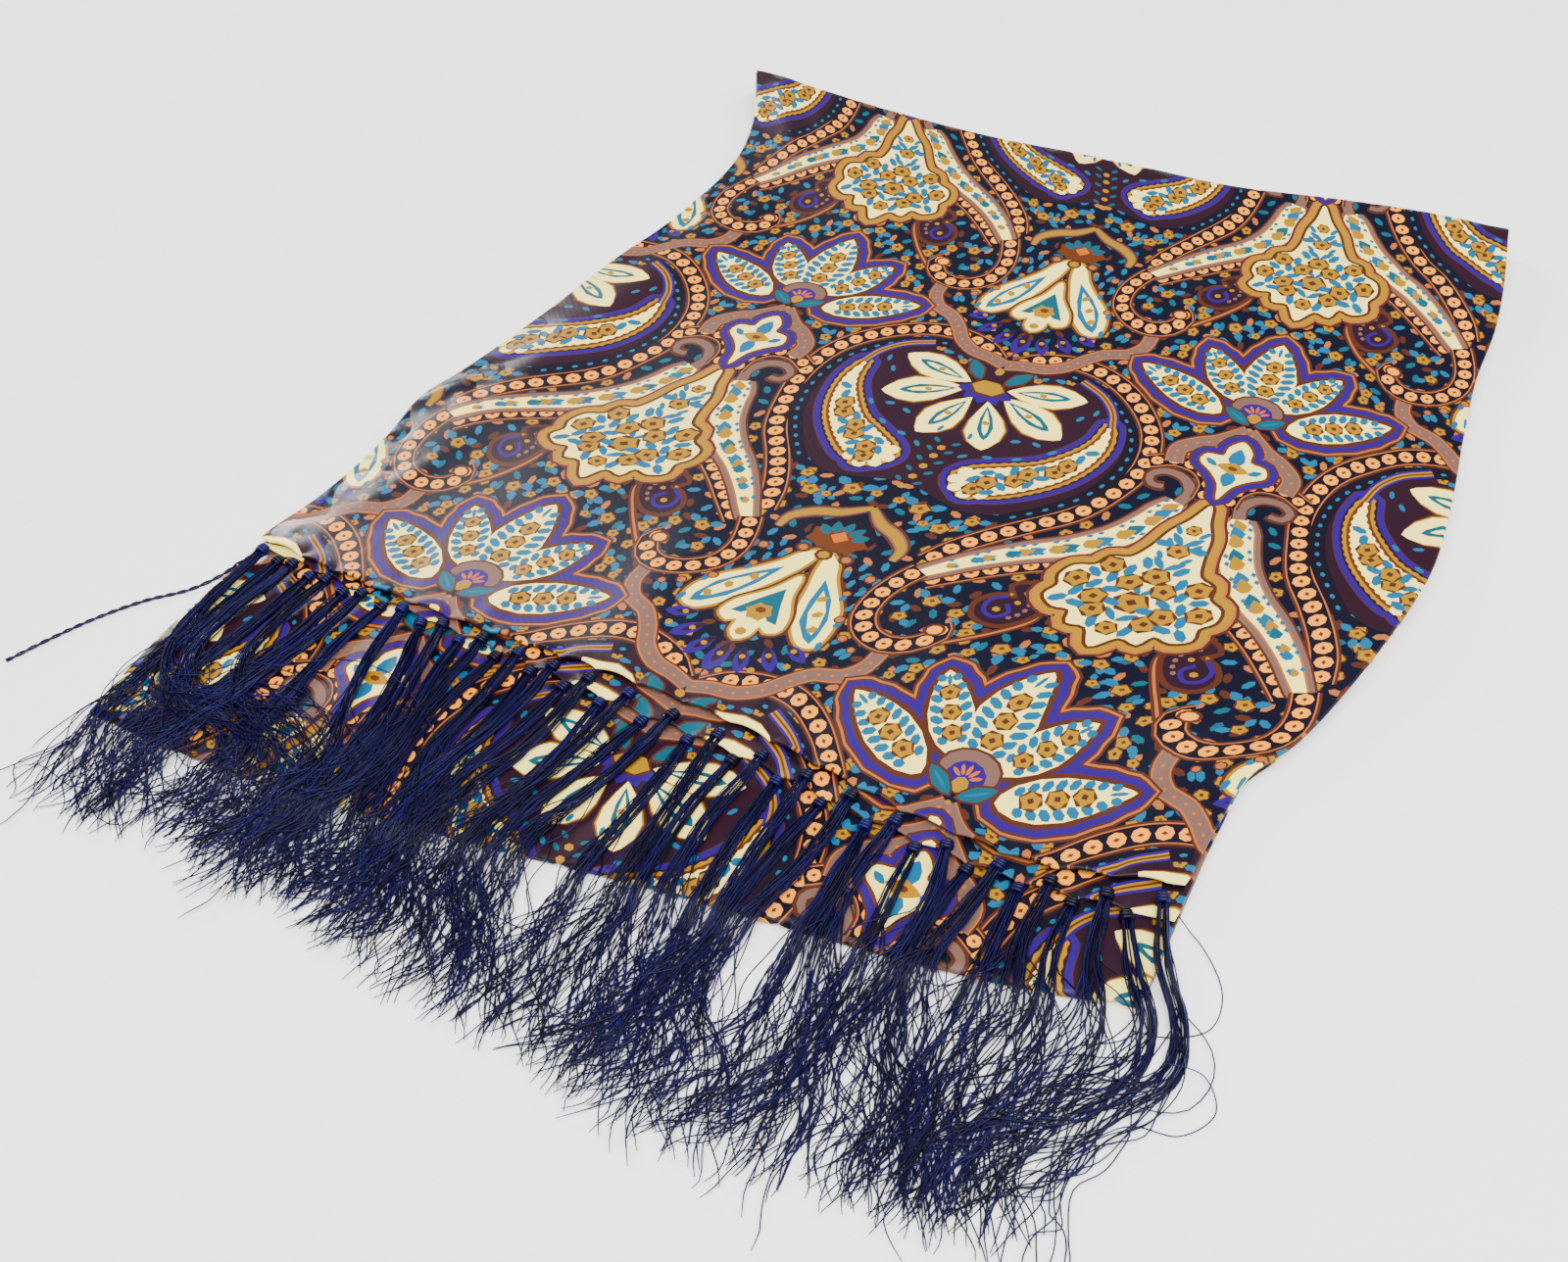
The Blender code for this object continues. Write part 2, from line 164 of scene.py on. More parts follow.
Fold = namedtuple("Fold", "across along lift")
FAR_FOLD = (
    Fold(0.00, 273.8, 6.0),
    Fold(0.10, 273.3, 4.0),
    Fold(0.20, 272.8, 2.0),
    Fold(0.35, 272.3, 0.4),
    Fold(0.50, 273.3, 0.6),
    Fold(0.67, 272.8, 0.8),
    Fold(0.80, 274.8, 3.0),
    Fold(0.90, 275.8, 4.4),
    Fold(1.00, 274.3, 5.5),
)

Near = namedtuple("Near", "across along")
NEAR_FOLD = (
    Near(0.00, -71.0),
    Near(0.15, -70.0),
    Near(0.30, -66.0),
    Near(0.45, -59.5),
    Near(0.60, -52.5),
    Near(0.75, -47.0),
    Near(0.88, -41.0),
    Near(1.00, -33.0),
)

Peek = namedtuple("Peek", "along second_left second_right lower_left lower_right")
PEEKS = (
    Peek(-75, 0.0, 0.0, 0.5, 1.5),
    Peek(-40, 0.0, 0.0, 2.0, 2.0),
    Peek(-20, -1.0, 1.0, 1.5, 1.4),
    Peek(0, -1.0, 0.8, 1.0, 0.6),
    Peek(25, -1.0, 0.2, 0.4, -0.6),
    Peek(50, -1.2, -1.2, -0.4, -2.2),
    Peek(100, -1.2, -1.4, -0.4, -1.6),
    Peek(LENGTH, -1.2, -1.2, -0.4, -0.6),
)

Ripple = namedtuple("Ripple", "x y heading length width height")
RIPPLES = (
    Ripple(-106, 128, 80, 80, 13, 2.4),
    Ripple(-88, 66, -8, 46, 12, 1.8),
    Ripple(20, 152, 6, 120, 26, 1.5),
    Ripple(-84, 238, -38, 56, 15, 2.4),
    Ripple(118, 112, 158, 52, 17, 2.0),
    Ripple(98, 44, 172, 48, 12, 1.7),
    Ripple(96, 226, 214, 56, 15, 2.2),
    Ripple(-22, 26, 97, 34, 13, 1.5),
    Ripple(58, 22, 84, 30, 12, 1.4),
    Ripple(10, 218, -12, 70, 18, 1.3),
    Ripple(-96, -38, 12, 60, 12, 1.2),
    Ripple(40, -30, 4, 64, 10, 1.0),
)
print("rows in the tables:", [len(table) for table in (SECTIONS, HEMS, FAR_FOLD, NEAR_FOLD, PEEKS, RIPPLES)])

# %% [markdown]
# ## Small creases
#
# Pressed silk keeps soft dents where it was handled: short troughs near the edges, long faint ones
# across the middle. Each is one row here, a ridge or a trough with its own length and depth, set one
# by one so that no two are alike. A cloth simulation would place them by chance.

# %% The small creases
CREASES = (
    Ripple(-128, 78, 62, 15, 3.5, 1.1),
    Ripple(-122, 92, 48, 13, 3.0, -0.8),
    Ripple(-116, 160, 84, 24, 4.0, 0.9),
    Ripple(-108, 186, 70, 18, 3.5, -0.7),
    Ripple(-104, 206, 52, 16, 4.0, 0.6),
    Ripple(-118, 34, 74, 20, 4.5, 0.5),
    Ripple(-86, 104, 24, 26, 5.0, -0.6),
    Ripple(-70, 44, -22, 22, 5.0, 0.5),
    Ripple(-46, 88, 10, 34, 6.0, -0.5),
    Ripple(-34, 186, -8, 42, 7.0, 0.5),
    Ripple(-12, 122, 30, 28, 6.0, 0.45),
    Ripple(8, 62, -14, 32, 6.0, -0.5),
    Ripple(34, 102, 8, 30, 6.5, -0.45),
    Ripple(62, 70, 34, 24, 5.0, 0.5),
    Ripple(80, 150, -12, 36, 7.0, -0.55),
    Ripple(64, 196, 16, 32, 6.0, 0.5),
    Ripple(120, 82, 128, 22, 4.5, -0.8),
    Ripple(138, 104, 112, 20, 4.0, 0.8),
    Ripple(136, 150, 96, 26, 4.5, -0.6),
    Ripple(128, 36, 66, 18, 4.0, -0.7),
    Ripple(112, 14, 22, 22, 4.0, 0.6),
    Ripple(124, 196, 78, 24, 5.0, 0.6),
    Ripple(72, 250, 24, 34, 6.0, -0.7),
    Ripple(-8, 250, -6, 40, 6.0, 0.5),
    Ripple(-96, 250, -52, 24, 5.0, -0.9),
    Ripple(-112, 262, -58, 18, 4.0, 0.8),
    Ripple(126, 256, 62, 20, 5.0, -0.8),
    Ripple(-60, 12, 88, 12, 4.0, 0.5),
    Ripple(-92, 10, 102, 12, 4.0, -0.5),
    Ripple(2, 10, 84, 12, 4.5, -0.5),
    Ripple(32, 12, 98, 13, 4.0, 0.5),
    Ripple(86, 8, 92, 12, 4.0, -0.5),
    Ripple(-112, -52, -16, 26, 5.0, -0.5),
    Ripple(-60, -44, 8, 30, 5.0, 0.6),
    Ripple(-14, -38, -10, 26, 5.0, -0.6),
    Ripple(76, -28, 12, 28, 5.0, 0.6),
    Ripple(110, -22, 24, 20, 4.0, -0.5),
)
print("small creases:", len(CREASES))

# %% [markdown]
# ## Reading the tables
#
# `read` draws the smooth curve through a column and gives its value at any number of places at once.
# Working on whole arrays, and not point by point, is what lets a fine print be laid over the cloth in
# a few seconds.

# %% Reading the tables
def read(rows, column, at):
    """A column of a table at any places, on a smooth curve through its rows."""
    keys = np.array([row[0] for row in rows], float)
    values = np.array([getattr(row, column) for row in rows], float)
    before = np.maximum(np.arange(len(rows)) - 1, 0)
    after = np.minimum(np.arange(len(rows)) + 1, len(rows) - 1)
    slopes = (values[after] - values[before]) / (keys[after] - keys[before])
    index = np.clip(np.searchsorted(keys, at) - 1, 0, len(rows) - 2)
    span = keys[index + 1] - keys[index]
    share = np.clip((at - keys[index]) / span, 0.0, 1.0)
    square, cube = share**2, share**3
    return (
        (2 * cube - 3 * square + 1) * values[index]
        + (cube - 2 * square + share) * slopes[index] * span
        + (3 * square - 2 * cube) * values[index + 1]
        + (cube - square) * slopes[index + 1] * span
    )


def fade(distance, reach):
    """1 at no distance, falling softly to 0 at the reach."""
    return np.maximum(1.0 - distance / reach, 0.0) ** 2


def ripple_height(ripples, x, y):
    """How high some ridges and troughs stand together at any places."""
    total = np.zeros(np.shape(x))
    for ripple in ripples:
        turn = math.radians(ripple.heading)
        along = (x - ripple.x) * math.cos(turn) + (y - ripple.y) * math.sin(turn)
        aside_by = (y - ripple.y) * math.cos(turn) - (x - ripple.x) * math.sin(turn)
        total += ripple.height * np.exp(-((along / ripple.length) ** 2) - (aside_by / ripple.width) ** 2)
    return total


def side(layer, hand, along):
    """Where a layer's left or right edge lies."""
    edge = read(SECTIONS, hand, along)
    if layer == "top":
        return edge
    out = read(PEEKS, f"{layer}_{hand}", along)
    return edge - out if hand == "left" else edge + out


def across_share(layer, x, y):
    """How far across a layer a place is: 0 at its left edge and 1 at its right."""
    left = side(layer, "left", y)
    right = side(layer, "right", y)
    return np.clip((x - left) / (right - left), 0.0, 1.0)


def lift(x, y):
    """How far the upper stretch rises above flat."""
    across = across_share("top", x, y)
    total = ripple_height(RIPPLES, x, y) + ripple_height(CREASES, x, y)
    total += read(SECTIONS, "left_lift", y) * fade(across, EDGE_REACH)
    total += read(SECTIONS, "right_lift", y) * fade(1.0 - across, EDGE_REACH)
    total += read(FAR_FOLD, "lift", across) * fade(np.maximum(LENGTH - FAR_ROLL - y, 0.0), FAR_REACH)
    return total


middle_heights = lift(np.array([-100.0, 0.0, 100.0]), np.array([120.0, 120.0, 120.0]))
print("rise of the cloth at three places, mm:", np.round(middle_heights, 1))

# %% [markdown]
# ## The chart of the print
#
# The cloth carries a traditional paisley repeat: an undulating ogee, and in its meshes paisleys, long
# leaves and flowers on a dark ground. A printer works from one repeat and sets it out over the cloth.
# An image could hold it, but would blur close up. So one half of the repeat is drawn here as outlines,
# in millimetres, in a few flat inks, as a block cutter would draw it, and the other half is its mirror
# image. On the chart s runs across the cloth and t along it. What is painted later covers what was
# painted before.

# %% The chart and its inks
HALF_REPEAT = 78.0      # millimetres, from the middle of the heart to the middle of the lotus
REPEAT = 150.0
INKS = {
    "navy": "030318",
    "dusk": "0d0314",
    "plum": "210818",
    "brown": "441f10",
    "rust": "552808",
    "mauve": "66493f",
    "shell": "9a5526",
    "tan": "ea8e16",
    "orange": "b05503",
    "mustard": "946a02",
    "cream": "f9e47c",
    "teal": "034a5a",
    "sky": "035678",
    "violet": "260564",
}
shapes = []             # outlines in painting order, with their inks and whether they have a twin


def add(points, ink, twin=True):
    """One more outline on the chart. A twin stands opposite, across the middle of the heart."""
    shapes.append((np.asarray(points, float), ink, twin))


def tell(motif):
    print(f"{motif}: {len(shapes)} outlines on the chart so far")


print(len(INKS), "inks, repeat in mm:", 2 * HALF_REPEAT, "x", REPEAT)

# %% [markdown]
# ## Drawn lines
#
# Each motif starts as a few places. A smooth line through them has a point about every step, as few as
# its bends need, because every point becomes a corner in the cloth.

# %% Lines and closed outlines
def route(points, step=1.5):
    """A smooth line through given places, with a point about every step."""
    marks = np.asarray(points, float)
    marks = np.vstack([2 * marks[0] - marks[1], marks, 2 * marks[-1] - marks[-2]])
    pieces = []
    for before, start, end, after in zip(marks[:-3], marks[1:-2], marks[2:-1], marks[3:]):
        count = max(1, round(float(np.linalg.norm(end - start)) / step))
        share = (np.arange(count) / count)[:, None]
        square_part = 2 * before - 5 * start + 4 * end - after
        cube_part = 3 * start - before - 3 * end + after
        pieces.append(0.5 * (
            2 * start + (end - before) * share + square_part * share**2 + cube_part * share**3
        ))
    return np.vstack(pieces + [marks[-2:-1]])


def loop(points, step=1.5):
    """A smooth closed line: a route that runs on past both ends, cut where it first comes round."""
    line = route([points[-1], *points, points[0], points[1]], step)
    from_start = np.linalg.norm(line - points[0], axis=1)
    half = len(line) // 2
    return line[np.argmin(from_start[:half]):half + np.argmin(from_start[half:])]


def mirrored(right_half, axis=0.0):
    """All the places of an even outline, from those down its right half, both ends on the axis."""
    first, *between, last = right_half
    return [first, *between, last, *((2 * axis - s, t) for s, t in reversed(between))]


def unit(vectors):
    """The same vectors, each one long."""
    return vectors / (np.linalg.norm(vectors, axis=-1, keepdims=True) + 1e-9)


def aside(line, closed=False):
    """The unit vectors to the left of a line at each of its points."""
    ahead = unit(np.roll(line, -1, 0) - np.roll(line, 1, 0) if closed else np.gradient(line, axis=0))
    return np.stack([-ahead[:, 1], ahead[:, 0]], 1)


def lengths_along(line):
    """How far along a line each of its points is."""
    return np.concatenate([[0.0], np.cumsum(np.linalg.norm(np.diff(line, axis=0), axis=1))])


def places_at(run, line, at):
    """Places on a line whose points lie at the lengths in run, or pairs kept for those points."""
    return np.stack([np.interp(at, run, line[:, axis]) for axis in (0, 1)], -1)


def signed_area(line):
    """The area inside a closed line, more than zero where it runs counter-clockwise."""
    x, y = line[:, 0], line[:, 1]
    return 0.5 * float(np.sum(x * np.roll(y, -1) - np.roll(x, -1) * y))


print("a test loop has", len(loop([(0, 0), (10, 0), (10, 10), (0, 10)])), "points")

# %% [markdown]
# ## The ground
#
# Small leaves and flowers fill the dark ground, so that hardly any of it stays bare. They stand on a
# turned lattice, each with a turn of its own, and the motifs painted over them leave only those
# between. A leaf is a line from base to tip with a belly, and a flower is a circle that swells and
# shrinks a few times on its way round, with a dark edge and a dark eye.

# %% Leaves and flowers over the ground
GROUND_ROWS = 28
GROUND_COLUMNS = 15
GROUND_PITCH = 5.3      # millimetres between the columns
GROUND_LEAF = 4.0       # length of a leaf
TURN = 2.4              # radians from one leaf to the next


def round_shape(centre, long, wide, ink, turn=0.0, points=8, lobes=0, depth=0.0, twin=True):
    """An ellipse, or a flower with lobes."""
    angle = np.arange(points) * 2 * math.pi / points
    reach = 1.0 + depth * np.cos(lobes * angle)
    x, y = long / 2 * reach * np.cos(angle), wide / 2 * reach * np.sin(angle)
    cosine, sine = math.cos(turn), math.sin(turn)
    add(np.stack([centre[0] + x * cosine - y * sine, centre[1] + x * sine + y * cosine], 1), ink, twin)


def half_width(share, width, belly, blunt=0.75):
    """Half the width of a petal at shares of its length. Its belly is the share where it is widest."""
    return width / 2 * np.sin(math.pi * share ** (math.log(0.5) / math.log(belly))) ** blunt


def petal(base, tip, width, belly=0.5, points=7, blunt=0.75):
    """A pointed outline from base to tip."""
    base, tip = np.asarray(base, float), np.asarray(tip, float)
    axis = tip - base
    side = np.array([-axis[1], axis[0]]) / np.linalg.norm(axis)
    share = (1 - np.cos(np.linspace(0, math.pi, points + 1))) / 2
    half = half_width(share, width, belly, blunt)
    middle = base + axis * share[:, None]
    return np.vstack([middle + side * half[:, None], (middle - side * half[:, None])[-2:0:-1]])


def leaf(base, tip, width, ink, belly=0.5, points=4, twin=True):
    """A small leaf of few points."""
    add(petal(base, tip, width, belly, points, blunt=0.8), ink, twin)


def flower(centre, size, turn=0.0, twin=True):
    """A mustard flower with a dark outline and eye."""
    round_shape(centre, size * 1.26, size * 1.16, "brown", turn, points=6, twin=twin)
    round_shape(centre, size, size * 0.88, "mustard", turn, points=10, lobes=5, depth=0.16, twin=twin)
    round_shape(centre, size * 0.40, size * 0.36, "brown", turn, points=4, twin=twin)


def turned_leaf(middle, turn, length, width, ink):
    half = np.array([math.cos(turn), math.sin(turn)]) * length / 2
    leaf(middle - half, middle + half, width, ink, points=3)


def draw_ground():
    number = 0
    for row in range(GROUND_ROWS):
        for column in range(GROUND_COLUMNS):
            number += 1
            across = 1.5 + (column + 0.5 * (row % 2)) * GROUND_PITCH
            place = np.array([across, row * REPEAT / GROUND_ROWS])
            turn = number * TURN
            if number % 5 == 0:
                flower(place, 3.4, turn)
                continue
            turned_leaf(place, turn, GROUND_LEAF, 2.5, ("sky", "brown", "teal", "shell")[number % 4])


draw_ground()
tell("ground")

# %% [markdown]
# ## The field in the heart
#
# Inside the heart the ground is plum. It is one even outline, so only its right half is written down.

# %% The plum field
FIELD = (
    (0, 158), (14, 163), (28, 162), (42, 152), (50, 138), (50, 122), (44, 110), (34, 99), (22, 93),
    (8, 96), (0, 98),
)
add(loop(mirrored(FIELD), step=3.0), "plum", twin=False)
tell("field")

# %% [markdown]
# ## Rosettes between the motifs
#
# Where the gaps between the motifs are widest, a larger flower with two leaves sits in each. Their
# places are listed, a row for each, and the leaves' angles are in degrees from across.

# %% Rosettes
Rosette = namedtuple("Rosette", "s t size first_leaf second_leaf")
ROSETTES = (
    Rosette(35.5, 57.5, 4.6, 30, 150),
    Rosette(43.5, 56.0, 4.2, 60, 300),
    Rosette(31.5, 49.5, 3.8, 100, 330),
    Rosette(50.5, 50.5, 4.4, 80, 200),
    Rosette(61.5, 49.5, 4.6, 20, 300),
    Rosette(71.5, 55.5, 4.2, 200, 340),
    Rosette(56.0, 45.0, 3.4, 100, 240),
    Rosette(68.5, 48.5, 3.0, 60, 140),
    Rosette(49.0, 35.5, 3.8, 60, 200),
    Rosette(44.0, 31.0, 3.0, 240, 60),
    Rosette(36.0, 14.5, 3.6, 100, 300),
    Rosette(42.5, 8.5, 3.2, 20, 170),
    Rosette(31.0, 17.5, 2.8, 120, 200),
    Rosette(50.5, 2.5, 3.6, 20, 170),
    Rosette(64.0, 1.5, 3.6, 10, 140),
    Rosette(10.5, 89.0, 5.4, 30, 150),
    Rosette(20.0, 84.0, 5.0, 60, 200),
    Rosette(25.5, 90.0, 4.0, 20, 260),
    Rosette(3.5, 90.0, 3.4, 90, 270),
    Rosette(58.0, 147.0, 3.8, 100, 220),
    Rosette(56.5, 156.0, 3.6, 20, 200),
    Rosette(64.5, 153.5, 3.4, 60, 330),
    Rosette(46.0, 160.5, 3.6, 20, 160),
    Rosette(70.5, 158.5, 3.4, 40, 160),
    Rosette(60.0, 140.0, 3.0, 90, 250),
    Rosette(67.0, 61.0, 3.6, 200, 320),
    Rosette(15.0, 84.0, 3.0, 90, 200),
    Rosette(41.0, 23.5, 2.6, 100, 250),
    Rosette(31.5, 8.0, 3.0, 20, 160),
    Rosette(22.0, 6.0, 3.2, 20, 200),
    Rosette(12.5, 2.5, 2.8, 40, 140),
)


def spoke(centre, degrees, long, wide=None):
    """The place at an angle from a centre, on a circle or an ellipse round it."""
    angle = math.radians(degrees)
    up = long if wide is None else wide
    return centre[0] + long * math.cos(angle), centre[1] + up * math.sin(angle)


def draw_rosettes():
    for row in ROSETTES:
        centre, size = (row.s, row.t), row.size
        for degrees in (row.first_leaf, row.second_leaf):
            root, tip = spoke(centre, degrees, 0.35 * size), spoke(centre, degrees, 1.3 * size)
            leaf(root, tip, 0.62 * size, "sky")
        round_shape(centre, size * 1.2, size * 1.05, "brown", 0.3, points=6)
        round_shape(centre, size * 0.95, size * 0.8, "mustard", 0.3, points=10, lobes=5, depth=0.14)
        round_shape((row.s, row.t + 0.05 * size), size * 0.36, size * 0.32, "rust", points=4)


draw_rosettes()
tell("rosettes")

# %% [markdown]
# ## The tendril
#
# A thin brown stem joins the violet paisley to the curl. A stripe along a line is a row of four-sided
# pieces. On a tight bend such a piece can cross itself like a bow tie, and the triangulation further on
# takes that badly, so there it is parted into two triangles.

# %% Stripes and the tendril
TENDRIL = ((60, 70), (61.5, 63), (57, 55), (50, 47), (42, 40), (38, 36))


def band(line, width, ink):
    """A stripe along a line. Its width is one number, or one for each point."""
    half = np.broadcast_to(np.asarray(width, float), (len(line),))[:, None] / 2
    left, right = line + aside(line) * half, line - aside(line) * half
    for here in range(len(line) - 1):
        there = here + 1
        fore = np.array([left[here], left[there], right[there]])
        rear = np.array([left[here], right[there], right[here]])
        if signed_area(fore) * signed_area(rear) > 0:
            add([left[here], left[there], right[there], right[here]], ink)
        else:
            add(fore, ink)
            add(rear, ink)


def stripes(line, rows):
    """Several bands on one line, the widest first, so that it gets coloured edges."""
    for width, ink in rows:
        band(line, width, ink)


stripes(route(TENDRIL, step=2.0), ((2.2, "brown"), (0.7, "shell")))
tell("tendril")

# %% [markdown]
# ## The violet paisley
#
# A small paisley fills the bay beside the long leaf: a drop with a bent tip, a violet ring and a few
# beads. Beads are laid along a line at an even pitch, each turned with it, as a cutter would set them.

# %% Beads and the violet paisley
VIOLET_DROP = (
    (49, 66.5), (46, 62), (48, 57.5), (53.5, 56.5), (58, 60), (60.5, 66), (58.5, 71.5), (54, 74),
    (50.5, 71.5), (53.5, 68),
)
VIOLET_SWIRL = ((53.5, 71), (56.8, 69), (57.6, 64), (55, 59.5))
VIOLET_RING = ((51, 67.5), (48, 64.5), (48.5, 60.5), (52, 59), (54.5, 62), (52.5, 65))


def grow(outline, by):
    """A closed outline moved outwards, by one number or by one for each point."""
    sign = -1.0 if signed_area(outline) > 0 else 1.0
    return outline + aside(outline, closed=True) * sign * np.reshape(by, (-1, 1))


def edged(outline, rows, twin=True):
    """One outline painted several times, the largest first, so that it gets coloured edges."""
    for by, ink in rows:
        add(grow(outline, by), ink, twin)


def beads(line, pitch, long, wide, ink="tan", eye="rust"):
    """Beads along a line, with or without an eye."""
    run, out = lengths_along(line), aside(line)
    count = max(1, int(run[-1] / pitch))
    for number in range(count):
        at = (number + 0.5) * (run[-1] / count)
        place, (across, along) = places_at(run, line, at), places_at(run, out, at)
        turn = math.atan2(-across, along)
        round_shape(place, long, wide, ink, turn, points=8 if eye else 5)
        if eye:
            round_shape(place, long * 0.40, wide * 0.26, eye, turn, points=4)


def draw_violet_paisley():
    edged(loop(VIOLET_DROP, step=1.5), ((1.6, "brown"), (0.0, "plum")))
    beads(route(VIOLET_SWIRL, step=1.5), 2.1, 1.7, 1.5, "mauve", eye=None)
    band(route(VIOLET_RING, step=1.2), 1.2, "violet")
    round_shape((51.2, 62), 2.2, 2.0, "mustard", points=6)
    round_shape((54.5, 66.5), 1.8, 1.6, "mustard", points=6)


draw_violet_paisley()
tell("violet paisley")

# %% [markdown]
# ## The heart
#
# Two beaded lines and their mirror images make the heart. The outer one is the broad border that runs
# through the whole print: tan beads on a dark band with a fine light edge. The inner one is a row of
# small blue dots.

# %% The beaded heart
HEART = (
    (3, 157), (10, 162.5), (22, 165), (34, 162), (45, 154), (52.5, 143), (55, 129), (52, 116),
    (47, 104.5), (40, 96), (33, 87), (28, 79), (25, 71),
)
INNER_HEART = ((20, 159), (32, 156), (42, 148), (48.5, 137), (49.5, 125), (46, 113), (40, 104), (32, 95))


def beaded_border(line, width, pitch):
    """A dark band with a row of tan beads and a fine light edge."""
    stripes(line, ((width + 2.4, "brown"), (width + 1.1, "shell"), (width + 0.3, "dusk")))
    beads(line, pitch, pitch * 0.86, width * 0.84)


beaded_border(route(HEART, step=3.2), 5.3, pitch=4.9)
inner_heart = route(INNER_HEART, step=3.4)
band(inner_heart, 4.2, "dusk")
beads(inner_heart, 4.2, 2.0, 1.3, "sky", eye=None)
tell("heart")

# %% [markdown]
# ## The paisley
#
# The drop that gives such prints their name stands twice in each heart, face to face. Its head is
# lobed, its edges are toothed, and leaves and flowers fill it. The teeth are every second point of the
# outline, pushed out a little. A place on the lattice gets its leaf only where it lies inside.

# %% The paisley
PAISLEY = (
    (11, 104), (14, 101.5), (17, 99.5), (20, 101.5), (24, 103), (31, 108.5), (37.5, 116), (41.5, 125),
    (42.5, 134), (40, 142), (38.6, 134), (35, 127), (28, 119), (20, 114.5), (13, 110.5), (10, 107),
)
Lobe = namedtuple("Lobe", "s t size")
PAISLEY_HEAD = (
    Lobe(11.6, 108.6, 4.4),
    Lobe(10.6, 105.0, 4.2),
    Lobe(12.6, 101.8, 4.2),
    Lobe(16.4, 99.9, 4.2),
    Lobe(20.6, 101.4, 4.0),
)
PAISLEY_TAIL = ((41, 141), (38.5, 148), (33, 154), (25, 158))


def holds(outline, place, margin):
    """True where a place lies inside an outline, at least the margin from its points."""
    x, y = outline[:, 0] - place[0], outline[:, 1] - place[1]
    if np.min(np.hypot(x, y)) < margin:
        return False
    after_x, after_y = np.roll(x, -1), np.roll(y, -1)
    crosses = (y > 0) != (after_y > 0)
    rise = np.where(crosses, after_y - y, 1.0)
    return np.count_nonzero(crosses & (x - y * (after_x - x) / rise > 0)) % 2 == 1


def strew(outline, pitch, size, margin, from_s):
    """Leaves and flowers inside an outline, on a turned lattice that starts at one place across."""
    low, high = outline.min(0), outline.max(0)
    number = 0
    for row in range(math.ceil((high[1] - low[1]) / pitch) + 1):
        for column in range(math.ceil((high[0] - from_s) / pitch) + 1):
            number += 1
            place = (from_s + (column + 0.5 * (row % 2)) * pitch, low[1] + row * pitch * 0.9)
            if not holds(outline, place, margin):
                continue
            turn = number * TURN
            if (row + 2 * column) % 3 == 0:
                flower(place, size * 1.15, turn)
                continue
            turned_leaf(place, turn, size, size * 0.62, "sky")


def draw_paisley():
    outline = loop(PAISLEY, step=1.3)
    odd = np.arange(len(outline)) % 2
    edged(outline, (
        (4.4, "brown"), (3.9 + 0.5 * odd, "violet"), (2.4, "plum"), (1.5 + 0.45 * odd, "mustard"),
        (0.7, "rust"), (-0.5 * odd, "cream"),
    ))
    for lobe in PAISLEY_HEAD:
        round_shape((lobe.s, lobe.t), lobe.size, lobe.size * 0.9, "cream", 0.4, points=7)
    strew(outline, pitch=4.1, size=4.8, margin=1.3, from_s=11.0)
    stripes(route(PAISLEY_TAIL, step=2.0), ((3.4, "violet"), (1.8, "mustard"), (0.6, "rust")))


draw_paisley()
tell("paisley")

# %% [markdown]
# ## The daisy
#
# In the middle of the heart hangs a daisy of six cream petals, each with a teal eye. All the brown
# edges are painted before any of the mustard ones, and those before any petal, so that petals that
# touch share one edge.

# %% The daisy
Petal = namedtuple("Petal", "base_s base_t tip_s tip_t width belly twin")
DAISY = (
    Petal(6, 144.5, 30, 149.5, 10.5, 0.55, True),
    Petal(6, 141.5, 29, 131.0, 11.5, 0.58, True),
    Petal(2.5, 138.5, 10.5, 118.5, 11.5, 0.60, True),
)
Sprig = namedtuple("Sprig", "s t degrees")
DAISY_SPRIGS = (
    Sprig(16, 125, 20),
    Sprig(22, 127, -15),
    Sprig(30, 140, 60),
    Sprig(34, 144, 80),
    Sprig(17, 155, 10),
    Sprig(6, 113, 40),
    Sprig(12, 116, 10),
    Sprig(5, 121, 100),
    Sprig(20, 118, 30),
    Sprig(28, 124, 45),
)
HEART_STUDS = (96, 101, 106, 111, 115)      # places up the middle, from the heart's tip to the daisy


def draw_sprigs(sprigs, length, width):
    for sprig in sprigs:
        root = (sprig.s, sprig.t)
        leaf(root, spoke(root, sprig.degrees, length), width, "sky", points=3)


def ends_of(row):
    """The base and the tip of a petal in a table."""
    return np.array([row.base_s, row.base_t], float), np.array([row.tip_s, row.tip_t], float)


def draw_daisy_petals():
    for edge, ink in ((2.2, "brown"), (1.0, "mustard")):
        for row in DAISY:
            add(petal(*ends_of(row), row.width + edge, row.belly), ink)
    for row in DAISY:
        base, tip = ends_of(row)
        way = tip - base
        add(petal(base, tip, row.width, row.belly), "cream")
        add(petal(base + way * 0.1, base + way * 0.8, row.width * 0.42, 0.6, points=5), "teal")
        add(petal(base + way * 0.18, base + way * 0.7, row.width * 0.2, 0.6, points=4), "cream")
        round_shape(base + way * 0.45, 2.6, 1.9, "mustard", points=6)


def draw_daisy_middle():
    for number in range(5):
        leaf((0, 143), spoke((0, 143.5), 200 + 35 * number, 9.5, 7.0), 4.5, "violet", twin=False)
    round_shape((0, 143.5), 11.5, 7.5, "brown", points=10, twin=False)
    round_shape((0, 143.8), 10.0, 6.2, "mustard", points=12, lobes=6, depth=0.07, twin=False)
    leaf((3.5, 146), (10.5, 155), 6.2, "brown")
    leaf((4, 147), (10, 154.5), 4.4, "teal")
    round_shape((0, 152), 3.0, 3.6, "mustard", points=7, twin=False)


